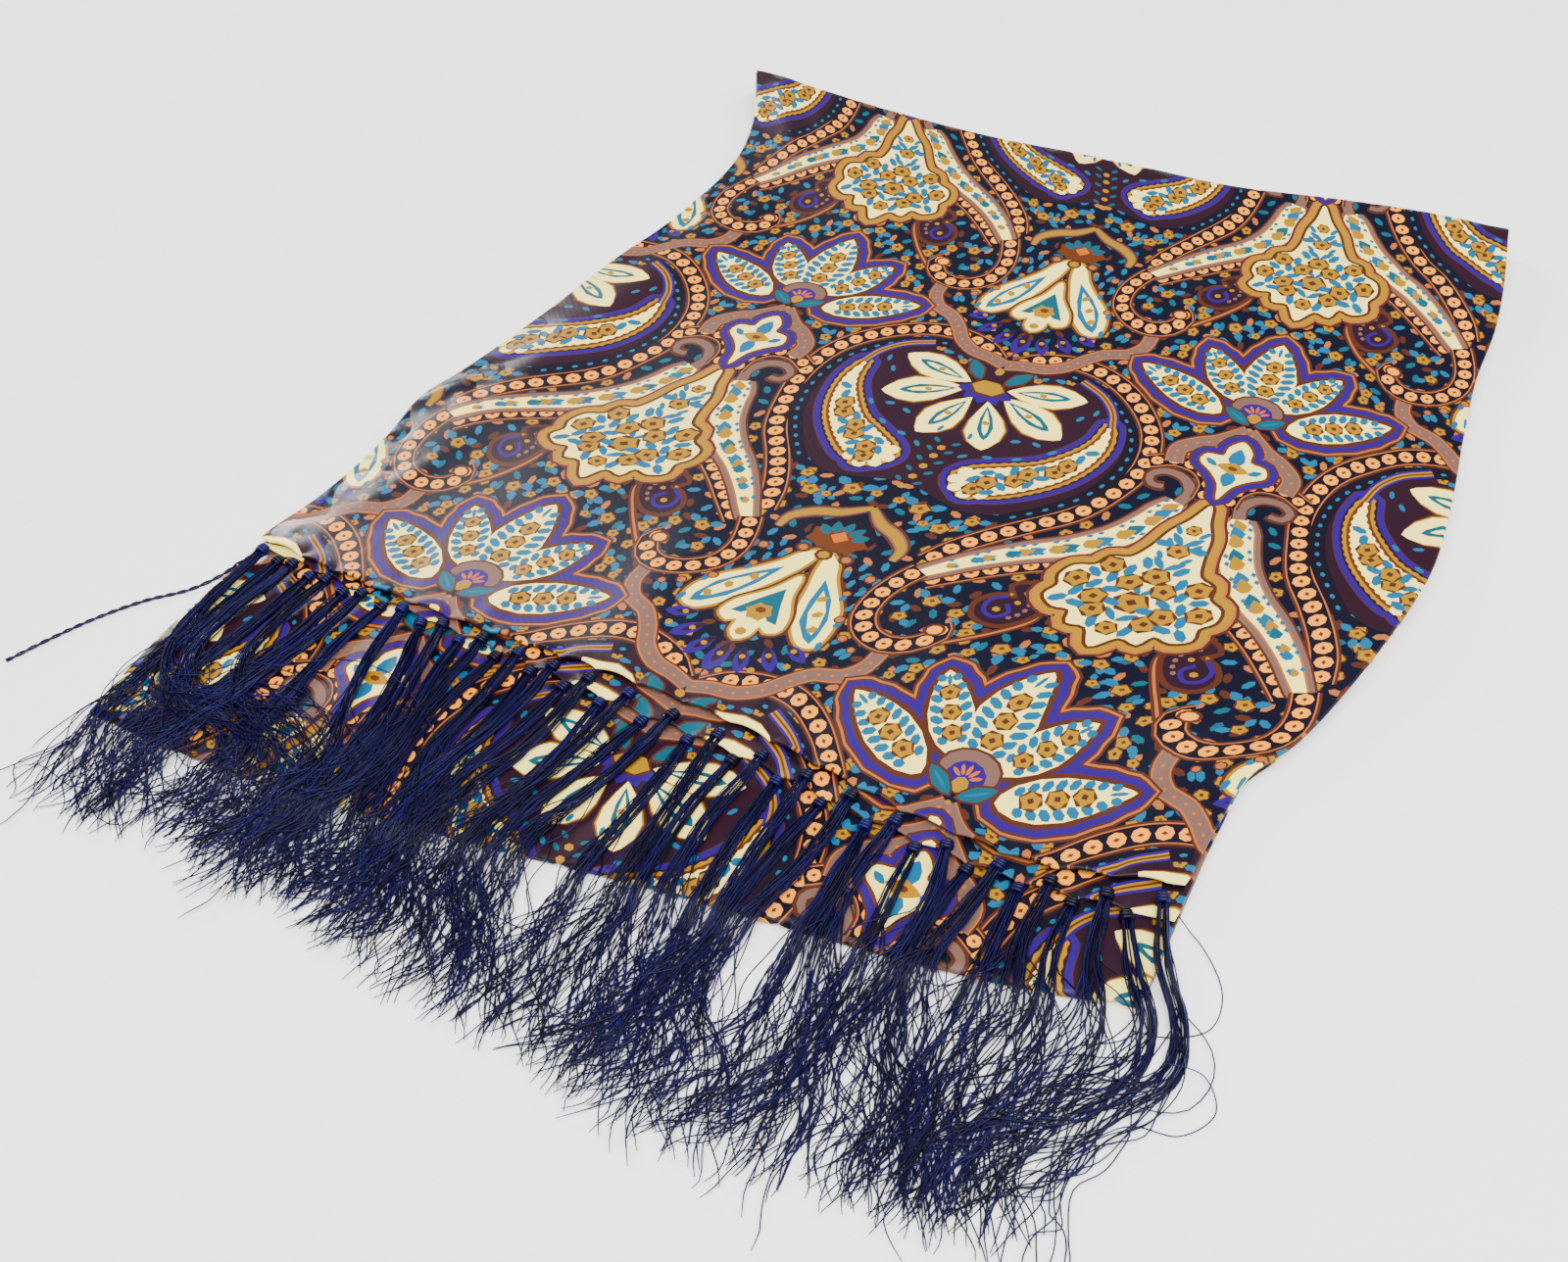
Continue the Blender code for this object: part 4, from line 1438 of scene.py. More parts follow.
def make_cloth(name, place, printed, rim_at, open_at, material, closed_below):
    """A piece of cloth from its printed cut: its face, its rolled edges and the face below."""
    cut, triangles, inks = printed
    ring, beside = border_ring(triangles)
    edge = cut[ring]
    points, normals = place(cut), normals_of(place, cut)
    here, up, rim = points[ring], normals[ring], rim_at(edge)[:, None]
    outward = unit(np.cross(np.roll(here, -1, 0) - np.roll(here, 1, 0), up))
    flat_outward = -aside(edge, closed=True)

    all_points, all_normals = [points], [normals]
    numbers, cuts = [ring], [edge]
    for step in range(1, ROLL_STEPS + 1):
        turn = math.pi * step / ROLL_STEPS
        all_points.append(here + rim * (outward * math.sin(turn) - up * (1.0 - math.cos(turn))))
        all_normals.append(outward * math.sin(turn) + up * math.cos(turn))
        numbers.append(len(points) + (step - 1) * len(ring) + np.arange(len(ring)))
        cuts.append(edge + flat_outward * rim * turn)
    closed = ~(open_at(edge) & open_at(np.roll(edge, -1, 0)))
    parts = [Part(triangles, inks, cut[triangles])]
    for step in range(ROLL_STEPS):
        corners = ((step, 0), (step + 1, 0), (step + 1, 1), (step, 1))
        quads = np.stack([np.roll(numbers[level], -after)[closed] for level, after in corners], 1)
        flat = np.stack([np.roll(cuts[level], -after, 0)[closed] for level, after in corners], 1)
        parts.append(Part(quads, inks[beside[closed]], flat))

    if closed_below:
        below_points, below_normals, below_part = face_below(place, edge, rim_at, numbers[-1][0])
        all_points.append(below_points)
        all_normals.append(below_normals)
        parts.append(below_part)
    return cloth_piece(name, np.vstack(all_points), np.vstack(all_normals), parts, material)


print("an edge is rolled in", ROLL_STEPS, "steps")

# %% [markdown]
# ## Printed silk
#
# The dye sits in the thread, so the ink is the base colour. What tells the eye that this is silk is
# its sheen: a soft broad gloss, broken by the diagonal ribs of the twill, that turns white where a
# crease faces the light. The real ribs are 0.3 mm apart, too fine to show here, so the bump draws them
# about twice as coarse.

# %% Silk
def add_node(tree, kind, inputs=None, **settings):
    """A new node with its settings and input values. A value that is a socket becomes a link."""
    node = tree.nodes.new(kind)
    for name, value in settings.items():
        setattr(node, name, value)
    for name, value in (inputs or {}).items():
        if isinstance(value, bpy.types.NodeSocket):
            tree.links.new(value, node.inputs[name])
        else:
            node.inputs[name].default_value = value
    return node


def new_material(name):
    material = bpy.data.materials.new(name)
    material.use_nodes = True
    tree = material.node_tree
    return material, tree, tree.nodes["Principled BSDF"]


TWILL_PITCH = 0.7       # millimetres between ribs as drawn
CRINKLES_END, CRINKLES_FULL = -106.0, -134.0    # where the left edge's crinkles fade out and are full

silk, tree, shader = new_material("printed silk twill")
ink = add_node(tree, "ShaderNodeAttribute", attribute_name="ink")
coords = add_node(tree, "ShaderNodeTexCoord")
cloudy = add_node(tree, "ShaderNodeTexNoise", {
    "Vector": coords.outputs["Object"], "Scale": 55.0, "Detail": 3.0})
shade = add_node(tree, "ShaderNodeMapRange", {"Value": cloudy.outputs["Fac"], "To Min": 0.90, "To Max": 1.08})
tinted = add_node(tree, "ShaderNodeVectorMath", {
    0: ink.outputs["Color"], 1: shade.outputs["Result"]}, operation="MULTIPLY")
tree.links.new(tinted.outputs[0], shader.inputs["Base Color"])
ribs = add_node(tree, "ShaderNodeTexWave", {
    "Vector": coords.outputs["Object"],
    "Scale": 2 * math.pi / (20 * TWILL_PITCH * MM) / math.sqrt(3),
    "Distortion": 0.4,
    "Detail": 1.0,
}, bands_direction="DIAGONAL")
bump = add_node(tree, "ShaderNodeBump", {"Height": ribs.outputs["Fac"], "Strength": 0.10, "Distance": 0.0001})
gloss = add_node(tree, "ShaderNodeMapRange", {"Value": cloudy.outputs["Fac"], "To Min": 0.40, "To Max": 0.50})
# By its left pressed edge the silk is crinkled, and its small facets catch the window as glints.
place = add_node(tree, "ShaderNodeSeparateXYZ", {0: coords.outputs["Object"]})
near_left = add_node(tree, "ShaderNodeMapRange", {
    "Value": place.outputs["X"], "From Min": CRINKLES_END * MM, "From Max": CRINKLES_FULL * MM})
folds = add_node(tree, "ShaderNodeTexNoise", {
    "Vector": coords.outputs["Object"], "Scale": 58.0, "Detail": 1.0, "Distortion": 0.4})
around = add_node(tree, "ShaderNodeMath", {0: folds.outputs["Fac"], 1: 0.5}, operation="SUBTRACT")
ridges = add_node(tree, "ShaderNodeMath", {0: around.outputs[0]}, operation="ABSOLUTE")
crinkles = add_node(tree, "ShaderNodeMath", {
    0: ridges.outputs[0], 1: near_left.outputs["Result"]}, operation="MULTIPLY")
crinkled = add_node(tree, "ShaderNodeBump", {
    "Height": crinkles.outputs[0], "Strength": 0.8, "Distance": 0.0045, "Normal": bump.outputs["Normal"]})
tree.links.new(crinkled.outputs["Normal"], shader.inputs["Normal"])
smoother = add_node(tree, "ShaderNodeMath", {
    0: near_left.outputs["Result"], 1: -0.12, 2: gloss.outputs["Result"]}, operation="MULTIPLY_ADD")
tree.links.new(smoother.outputs[0], shader.inputs["Roughness"])
brighter = add_node(tree, "ShaderNodeMath", {
    0: near_left.outputs["Result"], 1: 0.2, 2: 0.2}, operation="MULTIPLY_ADD")
tree.links.new(brighter.outputs[0], shader.inputs["Specular IOR Level"])
shader.inputs["Sheen Weight"].default_value = 0.02
shader.inputs["Sheen Roughness"].default_value = 0.4
print("material:", silk.name, "with", len(tree.nodes), "nodes")

# %% Thread
# Twisted silk thread: nearly black navy, with a thin line of gloss along each thread.
thread, tree, shader = new_material("navy silk thread")
ink = add_node(tree, "ShaderNodeAttribute", attribute_name="ink")
tree.links.new(ink.outputs["Color"], shader.inputs["Base Color"])
shader.inputs["Roughness"].default_value = 0.42
shader.inputs["Specular IOR Level"].default_value = 0.2
shader.inputs["Sheen Weight"].default_value = 0.0
print("material:", thread.name)

# %% [markdown]
# ## The three stretches that show
#
# The upper one carries the print in full. Of the one beneath only the hem and the edges can be seen,
# so only they are printed in detail. The hidden pair shows its near fold, its edges and its whole
# underside. A knot pinches the hem, so the cloth's rolled edge is thinner there.

# %% The two stretches that end in a hem
SECOND_END = 272.0
SECOND_SHOWS = 22.0     # how far up from its hem the second stretch is printed
SIDE_SHOWS = 9.0        # how far in from a pressed edge a hidden stretch is printed
PINCH_REACH = 4.0       # how far up from the hem a knot pinches the cloth
AT_END = 0.01           # how near the end of the cut counts as the end


def in_side(lowest, highest):
    return lowest[0] < CUT_LEFT + SIDE_SHOWS or highest[0] > CUT_RIGHT - SIDE_SHOWS


def near_rim_of_second(lowest, highest):
    return in_side(lowest, highest) or lowest[1] < SECOND_SHOWS


def make_stretch(name, stretch, end, pinch, wanted=None):
    """A piece of cloth that ends in a hem. Pinch is the share of its thickness that a knot takes."""
    def rim(cut):
        held = fade(cut[:, 1], PINCH_REACH) * (1.0 - hem_slack(stretch, share_of_cut(cut)))
        return stretch.wall / 2 * (1.0 - pinch * held)

    return make_cloth(
        name, lambda cut: place_on_stretch(stretch, cut), print_on(0.0, end, wanted), rim,
        lambda cut: cut[:, 1] > end - AT_END, silk, closed_below=True,
    )


top_cloth = make_stretch("top_cloth", TOP, TOP_END, 0.45)
second_cloth = make_stretch("second_cloth", SECOND, SECOND_END, 0.4, near_rim_of_second)

# %% The hidden pair with its near fold
COARSE = 3.2            # millimetres: shapes smaller than this are left out of the underside
UNDERSIDE_FROM = 75.0   # how far past the upper hem the near fold reaches at most
LOWER_SHOWS = 4.0       # how far in under the hems the upper face is printed


def shows_on_lower(lowest, highest):
    if lowest[1] < LOWER_SLIP - UNDERSIDE_FROM:
        return np.min(highest - lowest) > COARSE
    return in_side(lowest, highest) or lowest[1] < LOWER_SLIP + LOWER_SHOWS


def lower_rim(cut):
    placed = place_on_lower(cut)
    height = LOWER_HEIGHT + LOWER_SHARE * lift(placed[:, 0], placed[:, 1])
    return LOWER_ROUND * height * np.sin(lower_past(cut) * np.pi / 2)


def lower_ends(cut):
    return (cut[:, 1] > LOWER_HIGH - AT_END) | (cut[:, 1] < LOWER_LOW + AT_END)


lower_cloth = make_cloth(
    "lower_cloth", place_on_lower, print_on(LOWER_LOW, LOWER_HIGH, shows_on_lower), lower_rim,
    lower_ends, silk, closed_below=False,
)

# %% [markdown]
# ## The fringe
#
# A real tuft is some dozens of silk threads drawn through the hem, doubled and knotted, so it is thin
# and round at the knot and opens towards the tips. Each thread here is its own thin tube with its own
# way, and a row below says how its tuft was combed by the hand that laid the scarf down. A seeded
# random number gives each thread its place in the tuft, its waves and its length.

# %% The ways of the tufts
Tuft = namedtuple("Tuft", "threads way loose", defaults=(1.0,))
TOP_TUFTS = (
    Tuft(42, (
        (-137, -3), (-138, -28), (-134, -47), (-122, -57), (-103, -58), (-90, -62), (-82, -74), (-79, -90),
    )),
    Tuft(30, (
        (-125, -4), (-129, -26), (-128, -44), (-117, -55), (-100, -56), (-88, -60), (-79, -72), (-76, -88),
    )),
    Tuft(30, (
        (-112, -5), (-115, -22), (-114, -38), (-104, -50), (-91, -54), (-80, -62), (-75, -76), (-76, -92),
    )),
    Tuft(30, ((-99, -5), (-101, -22), (-106, -45), (-112, -65), (-116, -80), (-114, -96))),
    Tuft(30, ((-84.5, -5), (-82, -22), (-77, -40), (-72, -57), (-78, -76), (-90, -93))),
    Tuft(30, ((-70.5, -5), (-67, -22), (-62, -45), (-64, -65), (-72, -80), (-70, -96))),
    Tuft(30, ((-57, -5), (-57, -24), (-55, -45), (-58, -64), (-62, -80), (-60, -96))),
    Tuft(30, ((-45, -5), (-45, -24), (-46, -45), (-41, -66), (-46, -82), (-50, -95))),
    Tuft(30, ((-33.5, -5), (-35, -27), (-41, -52), (-40, -70), (-35, -84), (-38, -96))),
    Tuft(30, ((-22, -5), (-24, -27), (-30, -52), (-30, -75), (-25, -86), (-25, -98))),
    Tuft(30, ((-9.5, -5), (-14, -32), (-20, -54), (-19, -74), (-12, -88), (-8, -101))),
    Tuft(30, ((4.5, -6), (0, -30), (-7, -55), (-2, -80), (1, -92), (2, -102))),
    Tuft(30, ((18.5, -7), (19, -30), (20, -57), (17, -78), (19, -92), (20, -102))),
    Tuft(30, ((32, -8), (30, -32), (32, -57), (39, -80), (42, -92), (38, -104))),
    Tuft(30, ((45.5, -9), (45, -32), (45, -57), (42, -77), (36, -92), (33, -104))),
    Tuft(30, ((58.5, -10), (57, -32), (52, -54), (53, -75), (58, -92), (59, -107))),
    Tuft(30, ((71.5, -12), (70, -32), (72, -52), (77, -70), (75, -90), (69, -106)), 1.4),
    Tuft(30, ((85.5, -13), (89, -30), (88, -52), (84, -72), (86, -88), (86, -103)), 1.7),
    Tuft(30, ((99, -13), (97, -29), (95, -47), (102, -65), (107, -82), (108, -100)), 2.0),
    Tuft(30, ((111.5, -12), (112, -30), (116, -48), (112, -66), (116, -84), (119, -100)), 2.1),
    Tuft(30, ((124.5, -10), (128, -27), (134, -42), (129, -60), (124, -78), (126, -97)), 2.1),
    Tuft(34, ((136.5, -6), (142, -20), (151, -33), (153, -46), (144, -63), (134, -80), (130, -94)), 1.3),
)
LEFT_WAYS = (
    ((-131, -4), (-134, -30), (-137, -55), (-137, -75), (-134, -96)),
    ((-118.5, -5), (-121, -30), (-125, -52), (-127, -74), (-123, -97)),
    ((-105.5, -6), (-108, -30), (-115, -55), (-119, -76), (-112, -96)),
)
HEM_LEFT, HEM_RIGHT = -141.0, 140.0
ROOT_PAST_HEM = 1.0     # how far past the second hem a lower tuft starts
ENDS_SHORT = 3.0        # how much sooner it ends than its neighbours above
SWAY = (2.5, -1.5, 1.0, -2.5, 3.0, 0.5, -3.0, 2.0, -1.0, 3.5, -2.0)
SWAY_TURN = 5.0         # radians of sway from root to tip


def second_tufts():
    """The lower row. Past the left sweep, each tuft hangs between two of the upper row and sways."""
    tufts = [Tuft(30, way) for way in LEFT_WAYS]
    share = np.linspace(0.0, 1.0, 7)
    for number in range(len(LEFT_WAYS), len(TOP_TUFTS) - 1):
        left, right = TOP_TUFTS[number:number + 2]
        ways = [
            places_at(np.linspace(0.0, 1.0, len(tuft.way)), np.array(tuft.way, float), share)
            for tuft in (left, right)
        ]
        way = (ways[0] + ways[1]) / 2
        hem = read(HEMS, "second", (way[:1, 0] - HEM_LEFT) / (HEM_RIGHT - HEM_LEFT))[0]
        root, tip = hem - ROOT_PAST_HEM, way[-1, 1] + ENDS_SHORT
        drop = (way[:, 1] - way[0, 1]) / (way[-1, 1] - way[0, 1])
        way[:, 1] = root + drop * (tip - root)
        way[:, 0] += SWAY[number % len(SWAY)] * np.sin(share * SWAY_TURN)
        tufts.append(Tuft(30, way, (left.loose + right.loose) / 2))
    return tufts


SECOND_TUFTS = second_tufts()
print(len(TOP_TUFTS), "tufts above and", len(SECOND_TUFTS), "below")

# %% [markdown]
# ## How a thread lies
#
# A thread rests on whatever is under it: the hem beneath, then the near fold, then the floor. It does
# not drop off an edge like a step, it bridges it over some millimetres.

# %% What lies under the fringe
CLOTH_LEFT, CLOTH_RIGHT = -148.0, 150.0     # where the cloth stops holding threads up at its sides
SIDE_BRIDGE = 8.0
HEM_BRIDGE = 4.0
BRIDGE = 9.0            # length over which a thread comes down from the near fold


def soft_step(value):
    """From 0 to 1, with a soft start and a soft end."""
    share = np.clip(value, 0.0, 1.0)
    return share * share * (3.0 - 2.0 * share)


def support(x, y):
    """The height of what lies under the fringe at a place, with bridges at its edges."""
    across = across_share("lower", x, y)
    near = read(NEAR_FOLD, "along", across)
    hem = read(HEMS, "second", across)
    pair = LOWER_HEIGHT + LOWER_SHARE * lift(x, np.maximum(y, near))
    stretch = SECOND_BASE + SECOND_WALL + SECOND_SHARE * lift(x, y)
    inside = soft_step((x - CLOTH_LEFT) / SIDE_BRIDGE) * soft_step((CLOTH_RIGHT - x) / SIDE_BRIDGE)
    height = pair * soft_step((y - near + BRIDGE) / BRIDGE) * inside
    return height + np.maximum(stretch - pair, 0.0) * soft_step((y - hem + HEM_BRIDGE) / HEM_BRIDGE) * inside


print("support at the near fold, mm:", np.round(support(np.zeros(3), np.array([-40.0, -57.0, -66.0])), 1))

# %% [markdown]
# ## The middle line of each thread
#
# Beside the way of its tuft, a thread has a place of its own, a wave, a loose bow and a flare at the
# tip. Those are what make a lock look like silk and not like rope. All of them are worked out for a
# whole tuft at once, one row of numbers a thread.

# %% The lines of the threads
STATIONS = 46
STATION_SHARES = np.linspace(0.0, 1.0, STATIONS) ** 0.92
THREAD_RADIUS = 0.2
BOW_LENGTH = 34.0       # length of the loose arc each thread makes past its lock
KNOT_WIDTH, NECK_WIDTH, LOCK_WIDTH, TIP_WIDTH = 1.0, 1.5, 1.6, 4.5
LONG_WAVE, SHORT_WAVE, RISE_WAVE = 6.0, 2.7, 4.5    # millimetres a radian
WAVE_AT = (0.0, 12.0, 45.0, 65.0, 110.0)            # lengths from the knot
WAVE_SIZE = (0.05, 0.2, 0.45, 1.6, 2.4)             # and how far a thread waves there
STACK_SIZE = (2.2, 2.6, 2.2, 1.4)       # height of a tuft at its knot, 8 and 40 mm on, and at its tip
STACK_LIMIT = 9.0
HOLD = 5.0              # length over which a thread comes down from its knot
ROOT_PLACE = -4.0
generator = np.random.default_rng(21)
Chances = namedtuple("Chances", "length place drift phase pace wild bow bow_from flare flare_from level")


def draw_chances(tuft):
    """What is left to chance in a tuft, one of each for every thread, always drawn in this order."""
    one_each = (tuft.threads, 1)
    return Chances(
        length=(1.0 + generator.normal(-0.02, 0.06, one_each)).clip(0.80, 1.05),
        place=np.sqrt(generator.random(one_each)) * np.sign(generator.random(one_each) - 0.5),
        drift=generator.normal(0.0, 0.35, one_each),
        phase=generator.random((3, *one_each)) * 2 * math.pi,
        pace=generator.uniform(0.7, 1.4, one_each),
        wild=np.where(generator.random(one_each) < 0.35, 1.9, 1.0),
        bow=generator.normal(0.0, 3.0 * tuft.loose, one_each),
        bow_from=generator.uniform(28.0, 62.0, one_each) / tuft.loose**0.7,
        flare=generator.normal(0.0, 0.30, one_each),
        flare_from=generator.uniform(45.0, 80.0, one_each),
        level=generator.random(one_each),
    )


def thread_spread(at, end, loose, chance):
    """How far beside the middle of its tuft each thread lies, at lengths from the knot."""
    widths = (KNOT_WIDTH, NECK_WIDTH, LOCK_WIDTH * loose, TIP_WIDTH * loose**0.5)
    spread = (chance.place + chance.drift * STATION_SHARES) * np.interp(at, (0.0, 8.0, 50.0, end), widths)
    long_wave = np.sin(chance.pace * at / LONG_WAVE + chance.phase[0])
    short_wave = np.sin(chance.pace * at / SHORT_WAVE + chance.phase[1])
    spread += (long_wave + 0.3 * short_wave) * chance.wild * np.interp(at, WAVE_AT, WAVE_SIZE)
    spread += chance.bow * np.sin(((at - chance.bow_from) / BOW_LENGTH).clip(0.0, 1.0) * math.pi)
    return spread + chance.flare * np.maximum(at - chance.flare_from, 0.0)


def root_height(stretch, x):
    """The height of the roots: half-way through the cloth at the hem."""
    return stretch.base + stretch.wall * 0.5 + stretch.share * lift(x, np.full(np.shape(x), ROOT_PLACE))


def thread_lines(tufts, stretch, layer_low):
    """The middle lines of all the threads of a row: an array of threads x stations x 3."""
    lines = []
    for tuft in tufts:
        way = route(tuft.way, 1.0)
        run = lengths_along(way)
        end = run[-1]
        chance = draw_chances(tuft)
        at = end * chance.length * STATION_SHARES
        on_way = np.minimum(at, end)
        out = places_at(run, aside(way), on_way)
        ahead = np.stack([out[..., 1], -out[..., 0]], 2)
        middle = places_at(run, way, on_way) + ahead * (at - on_way)[..., None]
        flat = middle + out * thread_spread(at, end, tuft.loose, chance)[..., None]
        ground = support(flat[..., 0], flat[..., 1]) + THREAD_RADIUS
        stack = np.interp(at, (0.0, 8.0, 40.0, end), STACK_SIZE) * np.sqrt(1.0 - 0.8 * chance.place**2)
        crinkle = 0.25 * np.sin(at / RISE_WAVE + chance.phase[2])
        lying = ground + layer_low + (chance.level * stack + crinkle).clip(0.0, STACK_LIMIT)
        held = np.exp(-at / HOLD)
        knot_z = root_height(stretch, middle[..., 0]) + (chance.level - 0.5) * 2 * KNOT_WIDTH
        z = np.maximum(lying * (1.0 - held) + knot_z * held, ground)
        lines.append(np.concatenate([flat, z[..., None]], 2))
    return np.concatenate(lines)


print("threads in all:", sum(tuft.threads for tuft in (*TOP_TUFTS, *SECOND_TUFTS)))

# %% [markdown]
# ## From lines to threads
#
# A thread is a tube with three sides, closed at both ends. It is so thin that its sides don't show,
# and it shades as if it were round. On the bake each thread has a small cell of its own.

# %% Tubes round the lines
BAKE_STRIP = 0.92       # of a cell of the bake, for the unrolled tube, beside the discs of its ends
BAKE_DISC = 0.02
BAKE_DISC_PLACES = ((0.96, 0.3), (0.96, 0.7))


def thread_shades(count):
    """A navy for each thread, from nearly black to a clear dark blue."""
    dark, clear = np.array(linear("020214")), np.array(linear("0c0448"))
    return dark + (clear - dark) * generator.random((count, 1)) ** 1.5


def tube_bake(count, stations, angles):
    """Where the corners of the tubes lie on the bake: all the sides first, then the two ends."""
    sides = len(angles)
    cells = math.ceil(math.sqrt(count))
    cell = np.stack([np.arange(count) % cells, np.arange(count) // cells], 1) / cells
    turns = np.arange(sides)
    corner_turn = np.stack([turns, turns + 1, turns + 1, turns], 1)
    corner_station = np.arange(stations - 1)[:, None, None] + np.array([0, 0, 1, 1])
    u, v = np.broadcast_arrays(corner_turn / sides, corner_station / (stations - 1))
    strips = cell[:, None, None, None] + np.stack([u, v], 3) * BAKE_STRIP / cells
    disc = BAKE_DISC * np.stack([np.cos(angles), np.sin(angles)], 1)
    start, end = (cell[:, None] + (place + disc) / cells for place in BAKE_DISC_PLACES)
    return np.concatenate([part.reshape(-1, 2) for part in (strips, start[:, ::-1], end)])


def tube_piece(name, lines, radius, sides):
    """Thin tubes round the lines. The radius is one number, or one for each station."""
    count, stations, _ = lines.shape
    ahead = unit(np.gradient(lines, axis=1))
    flat = unit(np.stack([-ahead[..., 1], ahead[..., 0], np.zeros((count, stations))], 2))
    rise = np.cross(ahead, flat)
    angles = np.arange(sides) * 2 * math.pi / sides + math.pi / 2
    circle = flat[:, :, None] * np.cos(angles)[:, None] + rise[:, :, None] * np.sin(angles)[:, None]
    reach = np.broadcast_to(np.asarray(radius, float), (stations,))[:, None, None]
    points = (lines[:, :, None] + circle * reach).reshape(-1, 3)
    number = np.arange(count * stations * sides).reshape(count, stations, sides)
    turned = np.roll(number, -1, 2)
    quads = np.stack([number[:, :-1], turned[:, :-1], turned[:, 1:], number[:, 1:]], 3).reshape(-1, 4)
    ends = np.concatenate([number[:, 0, ::-1], number[:, -1]])
    shades = thread_shades(count)
    side_colours = np.repeat(shades, (stations - 1) * sides * 4, 0)
    end_colours = np.tile(np.repeat(shades, sides, 0), (2, 1))
    colours = np.concatenate([side_colours, end_colours])
    bake = tube_bake(count, stations, angles)
    return new_piece(name, points, quads.tolist() + ends.tolist(), colours, bake, thread)


taper = np.interp(np.linspace(0, 1, STATIONS), (0.0, 0.96, 1.0), (1.0, 1.0, 0.6)) * THREAD_RADIUS
second_threads = tube_piece("second_threads", thread_lines(SECOND_TUFTS, SECOND, 0.0), taper, 3)
top_threads = tube_piece("top_threads", thread_lines(TOP_TUFTS, TOP, 0.8), taper, 3)

# %% [markdown]
# ## Knots
#
# The knot is what draws the hem in and makes it wave. Each is a cord wound three times round its tuft.

# %% Knots
KNOT_TURNS, KNOT_STATIONS = 3.0, 34
KNOT_START, KNOT_LENGTH = 1.0, 2.6      # where the coil starts behind the root, and how long it is
KNOT_REACH, KNOT_BELLY = 1.15, 0.25     # radius at its ends, and how much it swells in the middle


def knot_lines(tufts, stretch):
    """A short close coil round the root of each tuft."""
    turn = np.linspace(0.0, KNOT_TURNS * 2 * math.pi, KNOT_STATIONS)
    share = turn / turn[-1]
    swell = KNOT_REACH + KNOT_BELLY * np.sin(share * math.pi)
    lines = []
    for tuft in tufts:
        start, after = np.array(tuft.way[:2], float)
        way = unit(after - start)
        beside = np.array([-way[1], way[0]])
        back = (KNOT_START - KNOT_LENGTH * share)[:, None]
        flat = start - way * back + beside * (swell * np.cos(turn))[:, None]
        z = root_height(stretch, start[:1])[0] + swell * np.sin(turn)
        lines.append(np.column_stack([flat, z]))
    return np.array(lines)


top_knots = tube_piece("top_knots", knot_lines(TOP_TUFTS, TOP), 0.55, 6)
second_knots = tube_piece("second_knots", knot_lines(SECOND_TUFTS, SECOND), 0.5, 6)

# %% [markdown]
# ## Threads that went astray
#
# A twisted pair has slipped out of the leftmost tuft and lies across the floor. At the right two single
# threads loop out of theirs. Each starts at the height of its knot and sinks to the floor.

# %% The stray pair and the loops
STRAY_WAY = ((-138, -5), (-143, -10), (-150, -22), (-159, -31), (-167, -42), (-173, -53), (-179, -66))
STRAY_TWISTS = 11
STRAY_RADIUS, LOOP_RADIUS = 0.32, 0.16
LOOPS = (
    ((140, -7), (148, -11), (156, -20), (157, -30), (150, -36), (142, -38)),
    ((152, -44), (160, -42), (165, -49), (160, -57), (149, -60), (140, -74), (137, -88), (139, -101)),
)
steps = np.linspace(0.0, 1.0, 60)


def stray_line(places):
    """A line of even steps through a few places on the floor."""
    way = route(places, 1.0)
    return places_at(np.linspace(0, 1, len(way)), way, steps)


def sink(height, reach):
    """How much higher than the floor a thread still is on its way down from its knot."""
    return height * np.exp(-((steps / reach) ** 2))


base = stray_line(STRAY_WAY)
pair = []
for phase in (0.0, math.pi):
    twist = steps * 2 * math.pi * STRAY_TWISTS + phase
    z = 0.75 + 0.35 * np.cos(twist) + sink(3.6, 0.10)
    pair.append(np.column_stack([base[:, 0] + 0.35 * np.sin(twist), base[:, 1], z]))
stray_threads = tube_piece("stray_threads", np.array(pair), STRAY_RADIUS, 6)

loop_z = 0.35 + 0.25 * np.sin(steps * 9.0) + sink(3.2, 0.08)
loop_lines = np.array([np.column_stack([stray_line(places), loop_z]) for places in LOOPS])
loop_threads = tube_piece("loop_threads", loop_lines, LOOP_RADIUS, 5)

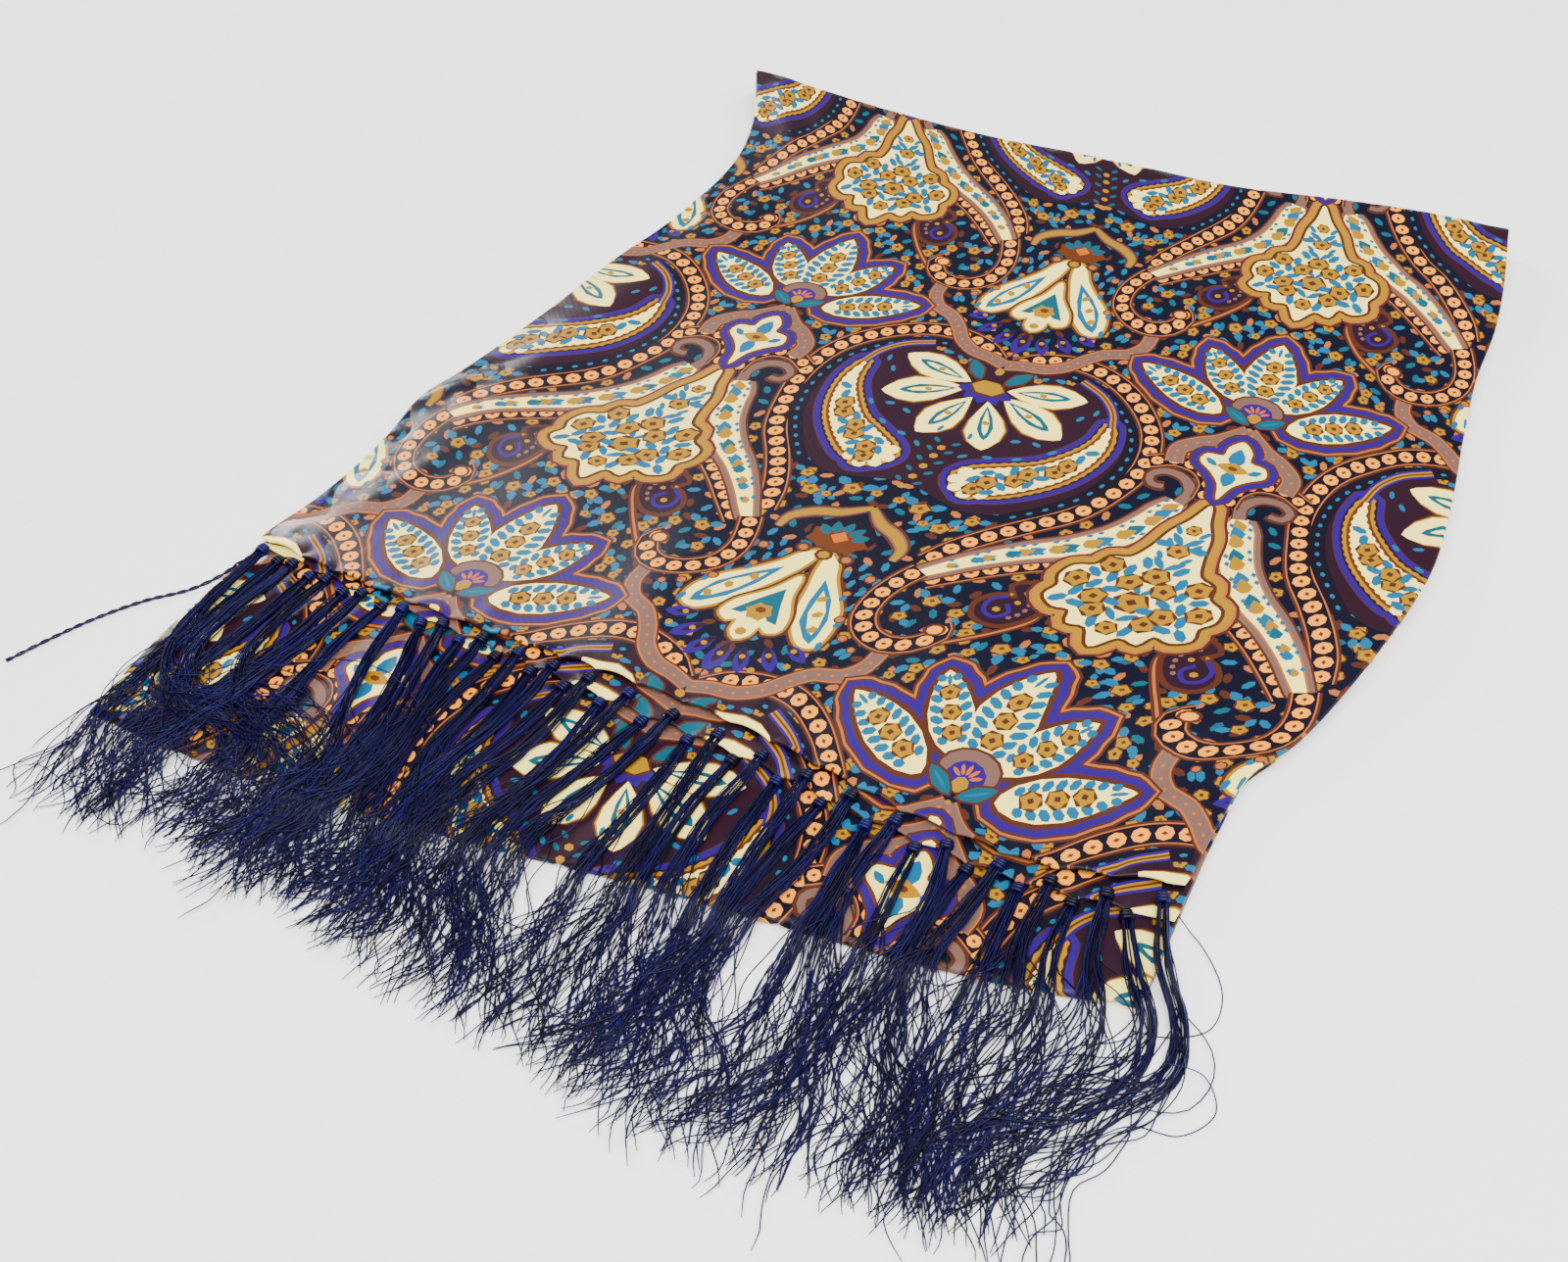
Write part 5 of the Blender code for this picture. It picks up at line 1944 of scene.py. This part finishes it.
# %% [markdown]
# ## The studio
#
# A white floor and broad soft light from above and behind, as for a shop picture. The gloss on the
# left edge and the far corner comes from a second light at the left.

# %% Floor and lights
bpy.ops.object.select_all(action="DESELECT")
bpy.ops.mesh.primitive_plane_add(size=6.0, location=(0, 0, 0))
floor = bpy.context.object
floor.name = "floor"
# Matt white paper: it gives the eye a soft shadow under the scarf and no shine of its own.
floor_finish, tree, shader = new_material("white paper sweep")
shader.inputs["Base Color"].default_value = linear("fafafa")
shader.inputs["Roughness"].default_value = 0.9
floor.data.materials.append(floor_finish)


def area_light(name, place, aim, size, power):
    """A soft rectangular light that looks at a place on the scarf."""
    bpy.ops.object.select_all(action="DESELECT")
    bpy.ops.object.light_add(type="AREA", location=place)
    light = bpy.context.object
    light.name = name
    light.rotation_euler = (Vector(aim) - Vector(place)).to_track_quat("-Z", "Y").to_euler()
    light.data.shape = "RECTANGLE"
    light.data.size, light.data.size_y = size
    light.data.energy = power


# Each light: where it stands, where it aims, how large it is, in metres, and its power in watts.
area_light("overhead", (0.35, -0.55, 1.5), (0.0, 0.1, 0.0), (1.6, 1.4), 78.0)
area_light("left window", (-1.1, 0.7, 0.6), (-0.05, 0.12, 0.0), (0.45, 0.3), 15.0)
area_light("near fill", (0.9, 0.4, 1.0), (0.0, 0.05, 0.0), (1.0, 0.8), 14.0)
world = bpy.data.worlds.new("room")
bpy.context.scene.world = world
world.use_nodes = True
world.node_tree.nodes["Background"].inputs["Color"].default_value = linear("ffffff")
world.node_tree.nodes["Background"].inputs["Strength"].default_value = 0.3

# %% [markdown]
# ## The pieces on the body
#
# Every piece rides on the one body, and the imported solids that they stand for are hidden.

# %% The pieces on the body, and the solids hidden
for piece in (top_cloth, second_cloth, lower_cloth):
    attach(piece, "root")
for piece in (top_threads, second_threads, top_knots, second_knots, stray_threads, loop_threads):
    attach(piece, "root")
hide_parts("top_stretch")
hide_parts("second_stretch")
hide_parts("lower_fold")
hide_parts("top_fringe")
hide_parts("second_fringe")
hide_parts("stray_lock")
